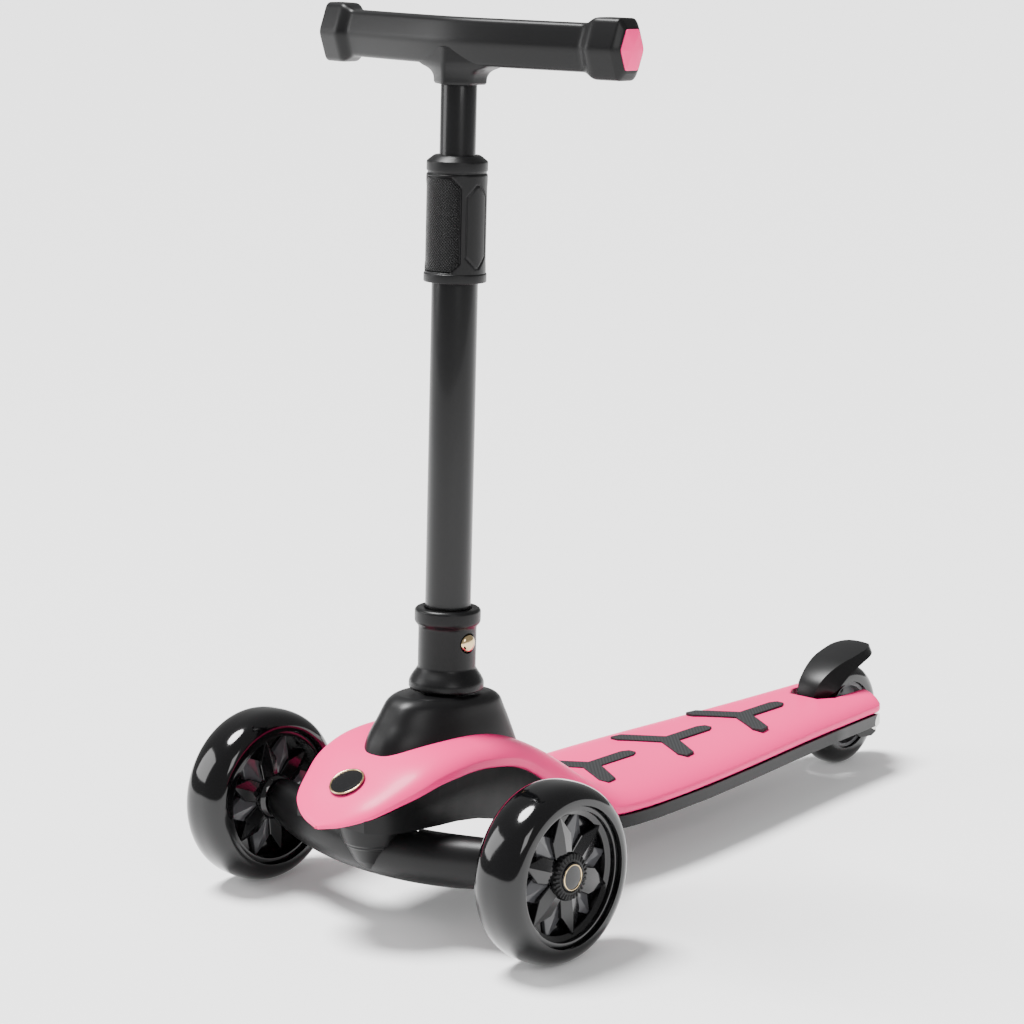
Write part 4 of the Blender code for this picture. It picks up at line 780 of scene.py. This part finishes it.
def sleeve_grid():
    """Turned grid of the sleeve: its radius dips in two knurled panels and along the outline of all
    four.  A panel is where the distance to its sides and its cut corners is above nothing.

    Returns the grid, the mask of the knurl, and the arc length and height of each point."""
    r = size("clamp_sleeve")[0] / 2 - 0.0008
    h = 0.083
    corners = [(TUBE_R + 0.0003, 0.0), (r + 0.0006, 0.0), (r + 0.0006, 0.0055), (r, 0.0062),
               (r, h - 0.0126), (r - 0.0008, h - 0.0118), (r - 0.0008, h - 0.0108),
               (r, h - 0.0100), (r, h - 0.0040), (INNER_R + 0.0040, h - 0.0006),
               (INNER_R + 0.0028, h), (INNER_R + 0.0003, h)]
    profile = rounded(corners, 0.0007, 4)
    side = (profile[:, 0] > r - 0.0001) & (profile[:, 1] > 0.006) & (profile[:, 1] < h - 0.0130)
    first = int(np.nonzero(side)[0][0])
    last = int(np.nonzero(side)[0][-1])
    flank = np.column_stack([np.full(90, r), np.linspace(profile[first, 1], profile[last, 1], 90)])
    profile = np.concatenate([profile[:first], flank, profile[last + 1:]])
    grid = turned(profile, 240)
    angles = np.linspace(0, 2 * np.pi, 241)
    height = np.repeat(profile[:, 1:], 241, axis=1)
    mask = np.zeros(grid.shape[:2])
    grooves = np.zeros(grid.shape[:2])
    for degrees, spread, low, high, corner in ((-92, 52, 0.0075, 0.0690, 0.0060),
                                               (88, 52, 0.0075, 0.0690, 0.0060),
                                               (-3, 25, 0.0100, 0.0640, 0.0075),
                                               (177, 25, 0.0100, 0.0640, 0.0075)):
        off = (angles - math.radians(degrees) + np.pi) % (2 * np.pi) - np.pi
        across = (math.radians(spread) - np.abs(off)) * r
        up = np.minimum(height - low, high - height)
        inside = np.minimum(np.minimum(across[None, :], up), (across[None, :] + up - corner) * 0.7)
        if spread > 40:
            mask = np.maximum(mask, smoothstep(0.0006, 0.0012, inside))
            grooves = np.maximum(grooves, smoothstep(0.0008, 0.0003, np.abs(inside)))
        else:
            grooves = np.maximum(grooves, 0.7 * smoothstep(0.0009, 0.0003, np.abs(inside)))
    radii = np.linalg.norm(grid[..., :2], axis=-1)
    on_side = (np.abs(radii - r) < 1e-6) & (height > 0.007) & (height < h - 0.0128)
    mask = mask * on_side
    scale = 1 - (0.0004 * mask + 0.0008 * grooves * on_side) / r
    grid[..., 0] *= scale
    grid[..., 1] *= scale
    arc = np.repeat((angles * r)[None, :], len(profile), axis=0)
    return grid, mask, arc, height


class SCOOTER_OT_sleeve(bpy.types.Operator):
    """Twist sleeve with its cone, grooves and knurled panels"""

    bl_idname = "scooter.sleeve"
    bl_label = "Clamp Sleeve"

    def execute(self, context):
        grid, mask, arc, height = sleeve_grid()
        mesh = grid_mesh("sleeve_surface", [grid], STEM)
        attribute = mesh.attributes.new("knurl", "FLOAT", "POINT")
        attribute.data.foreach_set("value", mask.reshape(-1))
        panel = mesh.uv_layers.new(name="panel")
        index = np.empty(len(mesh.loops), dtype=np.int32)
        mesh.loops.foreach_get("vertex_index", index)
        panel.data.foreach_set("uv", np.stack([arc, height], -1).reshape(-1, 2)[index].reshape(-1))
        close_up(mesh)
        piece("sleeve_surface", mesh, sleeve_black(), "sleeve", ("clamp_sleeve",), 35)
        return {"FINISHED"}


def rounded_ring(corners, radius, steps=6):
    """Closed outline of a polygon with every corner rounded; the last point repeats the first."""
    corners = np.asarray(corners, dtype=float)
    start = (corners[0] + corners[-1]) / 2
    return rounded(np.concatenate([[start], corners, [start]]), radius, steps)


def hexagon(half_d, half_h):
    flat = half_d * 0.54
    return [(half_d, 0.0), (flat, half_h), (-flat, half_h), (-half_d, 0.0), (-flat, -half_h),
            (flat, -half_h)]


BAR_HALF = size("handlebar")[0] / 2
BAR_FORWARD, BAR_SWEEP = 0.0058, 0.0215
BAR_LEVEL = 0.43044


def bar_centre(x):
    """Swept centre line, a hyperbola across X that puts the ends behind the stem."""
    rise = (np.hypot(x, 0.022) - 0.022) / (math.hypot(BAR_HALF, 0.022) - 0.022)
    return -BAR_FORWARD + BAR_SWEEP * rise


def bar_grid():
    """Rounded hexagons strung along the swept line, flared toward both ends and chamfered at them."""
    flat = BAR_HALF - 0.0195
    places = np.array([0.0, flat - 0.0125, flat - 0.0105, flat - 0.0015, flat + 0.0006,
                       BAR_HALF - 0.0042, BAR_HALF - 0.0036, BAR_HALF - 0.0004, BAR_HALF])
    deep = np.array([0.0108, 0.0108, 0.0110, 0.0156, 0.0158, 0.0158, 0.0156, 0.0127, 0.0121])
    high = np.array([0.0155, 0.0155, 0.0157, 0.0195, 0.0197, 0.0197, 0.0195, 0.0150, 0.0144])
    where = np.concatenate([np.linspace(0, flat - 0.013, 40),
                            np.linspace(flat - 0.0125, flat + 0.001, 14),
                            np.linspace(flat + 0.002, BAR_HALF - 0.0045, 5),
                            np.linspace(BAR_HALF - 0.0042, BAR_HALF, 10)])
    x = np.concatenate([-where[:0:-1], where])
    d, h = (curve_through(np.column_stack([places, values]), np.abs(x)) for values in (deep, high))
    rings = np.stack([rounded_ring(hexagon(a, b), 0.0034) for a, b in zip(d, h)])
    grid = np.concatenate([np.repeat(x[:, None, None], rings.shape[1], axis=1), rings], axis=-1)
    grid[..., 1] += bar_centre(x)[:, None]
    return grid


def neck_grid():
    """Rounded six-sided neck with a ridge in front, whose flanks sweep out into the bar."""
    low = -0.028
    z = np.concatenate([low + 0.0012 * np.sin(np.linspace(0, np.pi / 2, 5)),
                        np.linspace(low + 0.002, -0.0040, 30)])
    half = curve_through(((low, 0.0172), (low + 0.0040, 0.0176), (low + 0.0072, 0.0195),
                          (low + 0.0097, 0.0235), (low + 0.0115, 0.0290),
                          (low + 0.0150, 0.0350), (-0.0040, 0.0370)), z)
    half[:5] -= 0.0012 * (1 - np.cos(np.linspace(np.pi / 2, 0, 5)))
    rings = []
    for w in half:
        ridge = w * 0.97
        rings.append(rounded_ring([(0.0, -BAR_FORWARD - 0.0106), (ridge, -0.0072),
                                   (ridge, 0.0095), (0.0, 0.0150), (-ridge, 0.0095),
                                   (-ridge, -0.0072)], 0.0030))
    rings = np.stack(rings)
    return np.concatenate([rings, np.repeat(z[:, None, None], rings.shape[1], axis=1)], axis=-1)


class SCOOTER_OT_handlebar(bpy.types.Operator):
    """Six-sided swept handlebar with its neck and pink end inserts"""

    bl_idname = "scooter.handlebar"
    bl_label = "Handlebar"

    def execute(self, context):
        matrix = STEM @ Matrix.Translation((0, 0, stem_level(BAR_LEVEL)))
        surface("handlebar_surface", [capped(bar_grid())], satin_black(), "upper_stem", ("handlebar",),
                matrix, 40)
        surface("neck_surface", [capped(neck_grid())], satin_black(), "upper_stem", (), matrix, 40)
        for side, label in ((1, "left"), (-1, "right")):
            x = side * (BAR_HALF + np.array([-0.008, 0.0004, 0.0009, 0.0011]))
            rings = np.stack([rounded_ring(hexagon(0.0110 - t, 0.0129 - t), 0.0014)
                              for t in (0.0, 0.0, 0.0002, 0.0006)])
            grid = np.concatenate([np.repeat(x[:, None, None], rings.shape[1], axis=1), rings], axis=-1)
            grid[..., 1] += bar_centre(BAR_HALF)
            surface("bar_insert_" + label, [capped(grid)], pink(), "upper_stem", ("bar_cap_" + label,),
                    matrix, 50)
        return {"FINISHED"}


# ---- steering beam -----------------------------------------------------------------------------
class SCOOTER_OT_beam(bpy.types.Operator):
    """Bowed axle beam with the kingpin boss"""

    bl_idname = "scooter.beam"
    bl_label = "Axle Beam"

    def execute(self, context):
        half = TRACK / 2 - 0.0205
        share = np.sin(np.linspace(-np.pi / 2, np.pi / 2, 81))
        depth = 0.0165 - 0.0027 * share ** 2
        height = 0.018 - 0.0042 * np.abs(share) ** 5
        y = AXLE_Y - 0.020 * (1 - share ** 2)
        z = AXLE_Z - 0.0065 * (1 - share ** 2)
        a = np.linspace(0, 2 * np.pi, 65)
        grid = np.stack([np.repeat((share * half)[:, None], 65, 1),
                         y[:, None] + depth[:, None] * np.cos(a),
                         z[:, None] + height[:, None] * signed_power(np.sin(a), 0.9)], -1)
        top = 0.0165
        corners = [(0.0, -0.0185), (0.0085, -0.0180), (0.0140, -0.0120), (0.0195, -0.0020),
                   (0.0205, -0.0010), (0.0205, 0.0), (0.0218, 0.0012), (0.0255, top - 0.0025),
                   (0.0255, top), (0.0, top)]
        profile = rounded(corners, 0.0008, 4)
        boss = turned(profile, 96) + np.array([0.0, AXLE_Y - 0.0255, AXLE_Z])
        surface("beam_surface", [capped(grid)], satin_black(), "truck", ("axle_beam",), sharp=40)
        surface("boss_surface", [boss], satin_black(), "truck", sharp=40)
        for side, label in ((1, "left"), (-1, "right")):
            x = side * np.array([half - 0.004, TRACK / 2 - 0.0152, TRACK / 2 - 0.0148])
            stub = rod(x, [0.0078, 0.0078, 0.0074], AXLE_Y, AXLE_Z)
            surface("beam_end_" + label, [stub], satin_black(), "truck", sharp=40)
        return {"FINISHED"}


# ---- wheels ------------------------------------------------------------------------------------
def smoky_cover():
    return moulded("Smoky window", colours().smoke, 0.12, bump=0.000003, coat=0.5)


def tyre_profile(seat, radius, width):
    """Tread as a superellipse: up = (R - seat) cos(a)^0.75, across = w/2 sin(a)^0.8, on a flat seat."""
    a = np.radians(np.linspace(86, -86, 49))
    tread = np.column_stack([seat + (radius - seat) * np.cos(a) ** 0.75,
                             width / 2 * signed_power(np.sin(a), 0.8)])
    edge = tread[0, 1]
    return np.concatenate([[(seat, -edge), (seat, edge)], tread, [(seat, -edge)]])


def petal_grid(middle_angle, hub, tip, half_angle, foot, edge, ridge):
    """One pointed petal of the star, closed: its outline runs hub, shoulder, tip, shoulder, hub, and
    it rises from foot to edge, then in two folds to a ridge along its middle line."""
    waist = hub + 0.46 * (tip - hub)
    r = np.array([hub, hub, waist, tip, waist, hub, hub])
    a = np.array([0.0, -1.0, -0.62, 0.0, 0.62, 1.0, 0.0]) * half_angle
    crest_r = np.array([hub, hub, waist, tip - 0.0020, waist, hub, hub])
    crest_z = np.array([ridge, ridge, ridge - 0.0003, edge + 0.0002, ridge - 0.0003, ridge, ridge])
    rows = []
    for share, height in ((1.0, foot), (1.0, edge - 0.0004), (0.95, edge), (0.0, crest_z)):
        radius = crest_r if share == 0.0 else np.where(r > waist, r - 0.0008 * (share < 1.0), r)
        angle = middle_angle + a * share
        rows.append(np.stack([radius * np.cos(angle), radius * np.sin(angle),
                              np.broadcast_to(height, r.shape)], -1))
    return np.stack(rows)


def star(count, turn, hub, tip, half_angle, foot, edge, ridge):
    angles = turn + np.arange(count) * 2 * np.pi / count
    return [petal_grid(angle, hub, tip, half_angle, foot, edge, ridge) for angle in angles]


class SCOOTER_OT_front_wheels(bpy.types.Operator):
    """Front wheels: urethane tyre, bladed core, smoky cover, toothed ring and plain cap"""

    bl_idname = "scooter.front_wheels"
    bl_label = "Front Wheels"

    def execute(self, context):
        for side, label in ((1, "left"), (-1, "right")):
            self.wheel(side, label)
        return {"FINISHED"}

    def wheel(self, side, label):
        body = "front_wheel_" + label
        matrix = (Matrix.Translation((side * TRACK / 2, AXLE_Y, AXLE_Z))
                  @ Matrix.Rotation(side * math.pi / 2, 4, "Y"))
        seat = FRONT_RIM_R + SEAT_GAP
        width = size("front_tyre_" + label)[0]
        tyre = tyre_profile(seat, FRONT_R, width)
        surface("front_tyre_surface_" + label, [turned(tyre, 144)], urethane(), body,
                ("front_tyre_" + label,), matrix)
        rim = FRONT_RIM_R
        corners = [(rim - 0.0035, -RIM_HALF_WIDTH), (rim, -RIM_HALF_WIDTH), (rim, RIM_HALF_WIDTH),
                   (rim - 0.0035, RIM_HALF_WIDTH), (rim - 0.0035, -RIM_HALF_WIDTH)]
        barrel = turned(rounded(corners, 0.0006, 3), 96)
        drum = turned(rounded([(0.0113, -0.0176), (0.0135, -0.0176), (0.0158, -0.0150), (0.0158, 0.0098),
                               (0.0113, 0.0098), (0.0113, -0.0176)], 0.0006, 3), 64)
        pitch = 2 * math.pi / BLADES
        flip = np.array([1.0, -1.0, -1.0])
        outer = star(BLADES, BLADE_TURN, 0.0155, rim - 0.0044, 0.50 * pitch, 0.0070, 0.0126, 0.0149)
        valley = star(BLADES, BLADE_TURN + pitch / 2, 0.0165, rim - 0.0030, 0.47 * pitch, 0.0050,
                      0.0088, 0.0108)
        inner = [grid * flip for grid in star(BLADES, BLADE_TURN, 0.0150, rim - 0.0052, 0.44 * pitch,
                                              0.0060, 0.0118, 0.0150)]
        floor = turned(rounded([(0.0150, -0.0040), (rim - 0.003, -0.0060), (rim - 0.003, 0.0066),
                                (0.0150, 0.0066), (0.0150, -0.0040)], 0.0003, 3), 96)
        surface("front_core_surface_" + label, [barrel, drum, floor] + outer + inner, gloss_black(), body,
                ("front_wheel_core_" + label,), matrix, 20)
        surface("front_window_" + label, valley + [grid * flip for grid in valley], smoky_cover(), body,
                ("front_wheel_cover_" + label,), matrix, 20)
        for name, height in (("front_rim_lip_", 0.0150), ("front_inner_lip_", -0.0150)):
            lip = bead_profile(rim - 0.0022, height, 0.0014)
            surface(name + label, [turned(lip, 96)], gloss_black(), body, (), matrix)
        face = rounded([(rim - 0.0068, 0.0110), (rim - 0.0018, 0.0140), (rim - 0.0018, 0.0100),
                        (rim - 0.0068, 0.0095), (rim - 0.0068, 0.0110)], 0.0003, 3)
        surface("front_rim_face_" + label, [turned(face, 96)], gloss_black(), body, (), matrix)
        surface("front_tooth_ring_" + label, [self.tooth_ring()], satin_black(), body,
                ("front_hub_ring_" + label,), matrix, 25)
        a = np.linspace(np.pi / 2, 0, 12)
        cap = np.concatenate([[(0.0, 0.0150), (0.0094, 0.0150)],
                              np.column_stack([0.0094 * np.cos(a), 0.0172 + 0.0012 * np.sin(a)])[::-1]])
        surface("front_cap_" + label, [turned(cap, 64)], gloss_black(), body,
                ("front_hub_cap_" + label,), matrix)
        surface("front_cap_ring_" + label, [turned(bead_profile(0.0083, 0.0178, 0.0005), 64)], brass(),
                body, (), matrix)

    def tooth_ring(self):
        """Ring whose outer half rises and falls as short radial teeth, sharpened by a power of a cosine."""
        angles = np.linspace(0, 2 * np.pi, 361)
        tooth = 0.5 + 0.5 * signed_power(np.cos(TEETH * angles), 0.35)
        r = np.array([0.0098, 0.0158, 0.0158, 0.0152, 0.0122, 0.0116, 0.0104, 0.0098, 0.0098])
        z = np.array([0.0131, 0.0131, 0.0150, 0.0158, 0.0166, 0.0170, 0.0172, 0.0168, 0.0131])
        lift = np.array([0.0, 0.0, 0.0, 0.0011, 0.0007, 0.0, 0.0, 0.0, 0.0])
        height = z[:, None] + lift[:, None] * tooth[None, :]
        return np.stack([np.outer(r, np.cos(angles)), np.outer(r, np.sin(angles)), height], -1)


class SCOOTER_OT_rear_wheel(bpy.types.Operator):
    """Rear wheel: urethane tyre and slotted core"""

    bl_idname = "scooter.rear_wheel"
    bl_label = "Rear Wheel"

    def execute(self, context):
        matrix = Matrix.Translation(REAR_AXLE) @ Matrix.Rotation(math.pi / 2, 4, "Y")
        width = size("rear_tyre")[0]
        tyre = tyre_profile(REAR_RIM_R + SEAT_GAP, REAR_R, width)
        surface("rear_tyre_surface", [turned(tyre, 120)], urethane(), "rear_wheel", ("rear_tyre",),
                matrix)
        grey = moulded("Grey hub moulding", (0.10, 0.10, 0.105), 0.35)
        refined("rear_core_surface", "rear_wheel_core", grey)
        return {"FINISHED"}


# ---- brake -------------------------------------------------------------------------------------
def fender_line():
    """Outer line of the fender, (along Y, height) from the rear axle, front to tail."""
    over = REAR_R + 0.009
    front = -(REAR_R + 0.0035)
    points = np.array([(front, over - 0.0330), (front + 0.0005, over - 0.0265),
                       (front + 0.0030, over - 0.0195), (front + 0.0080, over - 0.0135),
                       (-0.0245, over - 0.0072), (-0.0120, over - 0.0025), (0.0, over),
                       (0.0090, over + 0.0018), (0.0170, over + 0.0030),
                       (0.0225, over + 0.0036), (0.0260, over + 0.0038)])
    travelled = np.concatenate([[0.0], np.cumsum(np.linalg.norm(np.diff(points, axis=0), axis=1))])
    where = np.linspace(0, travelled[-1], 60)
    lines = (np.column_stack([travelled, points[:, k]]) for k in (0, 1))
    return np.column_stack([soften(curve_through(line, where), 3) for line in lines])


class SCOOTER_OT_brake(bpy.types.Operator):
    """Foot brake: a fender with a flat crown and bevelled flanks"""

    bl_idname = "scooter.brake"
    bl_label = "Foot Brake"

    def execute(self, context):
        line = fender_line()
        tangent = np.gradient(line, axis=0)
        tangent /= np.linalg.norm(tangent, axis=1)[:, None]
        normal = np.column_stack([-tangent[:, 1], tangent[:, 0]])
        share = np.linspace(0, 1, len(line))
        tail = np.sqrt(1 - 0.62 * np.clip((share - 0.80) / 0.20, 0.0, 1.0) ** 2)
        crown = (0.0078 + 0.0082 * smoothstep(0.0, 0.75, share)) * tail
        flank = (0.0112 + 0.0083 * smoothstep(0.0, 0.34, share)) * tail
        depth = 0.0115 - 0.0065 * smoothstep(0.25, 1.0, share)
        u = np.concatenate([np.linspace(-1, -0.5, 5), np.linspace(-0.47, 0.47, 21),
                            np.linspace(0.5, 1, 5)])
        over = np.clip((np.abs(u) - 0.5) / 0.5, 0.0, 1.0)
        rings = []
        for inset, order in ((0.0, slice(None)), (0.0026, slice(None, None, -1))):
            side, out = u[order], over[order][None, :]
            flat = crown[:, None] * np.clip(side / 0.5, -1, 1)[None, :]
            across = flat + (flank - crown)[:, None] * out * np.sign(side)[None, :]
            across = across * (1 - inset / 0.0195)
            crowned = 0.0007 * np.clip(side / 0.5, -1, 1)[None, :] ** 2
            below = (depth - 0.3 * inset)[:, None] * out + crowned + inset * (1 - out)
            y = line[:, :1] + normal[:, :1] * -below + REAR_AXLE[1]
            z = line[:, 1:] + normal[:, 1:] * -below + REAR_AXLE[2]
            rings.append(np.stack([across, y, z], -1))
        grid = np.concatenate([rings[0], rings[1], rings[0][:, :1]], axis=1)
        obj = surface("fender_surface", [capped(grid)], satin_black(), "brake", ("brake_fender",),
                      sharp=25)
        soft_edges(obj, 0.0005, 40)
        for side, label in ((1, "left"), (-1, "right")):
            x = side * np.array([0.0070, 0.0074, 0.0186, 0.0190])
            r = KNUCKLE_R - np.array([0.0004, 0.0, 0.0, 0.0004])
            knuckle = rod(x, r, BRAKE_PIVOT.y, BRAKE_PIVOT.z)
            surface("brake_knuckle_" + label, [knuckle], satin_black(), "brake", sharp=40)
        return {"FINISHED"}


class SCOOTER_OT_hardware(bpy.types.Operator):
    """Axles, nuts, bearings, bushes, springs and screws: finishes on the frame's own solids"""

    bl_idname = "scooter.hardware"
    bl_label = "Hardware"

    def execute(self, context):
        for name, node in frame["nodes"].items():
            if node.hide_render:
                continue
            plastic = any(word in name for word in ("bush", "guide", "collet"))
            node.data.materials.clear()
            node.data.materials.append(nylon() if plastic else steel())
        return {"FINISHED"}


# ---- stage -------------------------------------------------------------------------------------
class SCOOTER_OT_stage(bpy.types.Operator):
    """Pale floor, soft studio light and the camera"""

    bl_idname = "scooter.stage"
    bl_label = "Stage"

    def execute(self, context):
        scene = context.scene
        floor = bpy.data.objects.new("floor", grid_mesh("floor", [self.floor_grid()]))
        paper = moulded("Studio floor", (0.96, 0.96, 0.96), 0.6, grain=60.0, bump=0.0, cloud=0.02,
                        spread=0.0, rubbing=0.0, specular=0.1)
        shader = paper.node_tree.nodes["Principled BSDF"]
        shader.inputs["Emission Color"].default_value = (1.0, 1.0, 1.0, 1.0)
        shader.inputs["Emission Strength"].default_value = 0.12
        floor.data.materials.append(paper)
        scene.collection.objects.link(floor)
        world = bpy.data.worlds.new("Studio")
        scene.world = world
        world.use_nodes = True
        world.node_tree.nodes["Background"].inputs["Color"].default_value = (1.0, 1.0, 1.0, 1.0)
        world.node_tree.nodes["Background"].inputs["Strength"].default_value = 0.42
        self.sunlight("high_sun", (-0.7, -0.3, 2.2), 8.5, 22.0)
        self.softbox("side_light", (2.2, -1.2, 1.6), 1.0, 22.0)
        self.softbox("left_light", (-2.0, -1.6, 1.2), 1.2, 30.0)
        data = bpy.data.cameras.new("camera")
        data.lens = LENS
        data.sensor_width = SENSOR
        data.clip_end = 100.0
        camera = bpy.data.objects.new("camera", data)
        scene.collection.objects.link(camera)
        camera.location = EYE
        look = (AIM - EYE).to_track_quat("-Z", "Y") @ Matrix.Rotation(ROLL, 4, "Z").to_quaternion()
        camera.rotation_euler = look.to_euler()
        scene.camera = camera
        return {"FINISHED"}

    def floor_grid(self):
        across = np.linspace(-FLOOR_REACH, FLOOR_REACH, 5)
        x, y = np.meshgrid(across, across)
        return np.stack([x, y, np.zeros_like(x)], -1)

    def sunlight(self, name, place, strength, spread):
        light = bpy.data.lights.new(name, "SUN")
        light.energy = strength
        light.angle = math.radians(spread)
        self.aim(name, light, place)

    def softbox(self, name, place, side, watts):
        light = bpy.data.lights.new(name, "AREA")
        light.shape = "SQUARE"
        light.size = side
        light.energy = watts
        self.aim(name, light, place)

    def aim(self, name, light, place):
        obj = bpy.data.objects.new(name, light)
        bpy.context.scene.collection.objects.link(obj)
        obj.location = place
        obj.rotation_euler = (LIGHT_AIM - Vector(place)).to_track_quat("-Z", "Y").to_euler()


PIECES = (SCOOTER_OT_cover, SCOOTER_OT_tray, SCOOTER_OT_pads, SCOOTER_OT_badge,
          SCOOTER_OT_housing, SCOOTER_OT_socket, SCOOTER_OT_tubes, SCOOTER_OT_sleeve,
          SCOOTER_OT_handlebar, SCOOTER_OT_beam, SCOOTER_OT_front_wheels, SCOOTER_OT_rear_wheel,
          SCOOTER_OT_brake, SCOOTER_OT_hardware, SCOOTER_OT_stage)


class SCOOTER_PT_panel(bpy.types.Panel):
    """Colours, sizes and pieces of the scooter"""

    bl_idname = "SCOOTER_PT_panel"
    bl_label = "Kick Scooter"
    bl_space_type = "VIEW_3D"
    bl_region_type = "UI"
    bl_category = "Scooter"

    def draw(self, context):
        for group in (context.scene.scooter_colours, context.scene.scooter_sizes):
            box = self.layout.box()
            for name in group.__annotations__:
                box.prop(group, name)
        for operator in PIECES:
            self.layout.operator(operator.bl_idname)


CLASSES = (ScooterColours, ScooterSizes, *PIECES, SCOOTER_PT_panel)


def register():
    for cls in CLASSES:
        bpy.utils.register_class(cls)
    bpy.types.Scene.scooter_colours = bpy.props.PointerProperty(type=ScooterColours)
    bpy.types.Scene.scooter_sizes = bpy.props.PointerProperty(type=ScooterSizes)


def unregister():
    del bpy.types.Scene.scooter_sizes
    del bpy.types.Scene.scooter_colours
    for cls in reversed(CLASSES):
        bpy.utils.unregister_class(cls)


def main():
    register()
    for operator in PIECES:
        group, name = operator.bl_idname.split(".")
        getattr(getattr(bpy.ops, group), name)()
    bpy.context.view_layer.update()


if __name__ == "__main__":
    main()
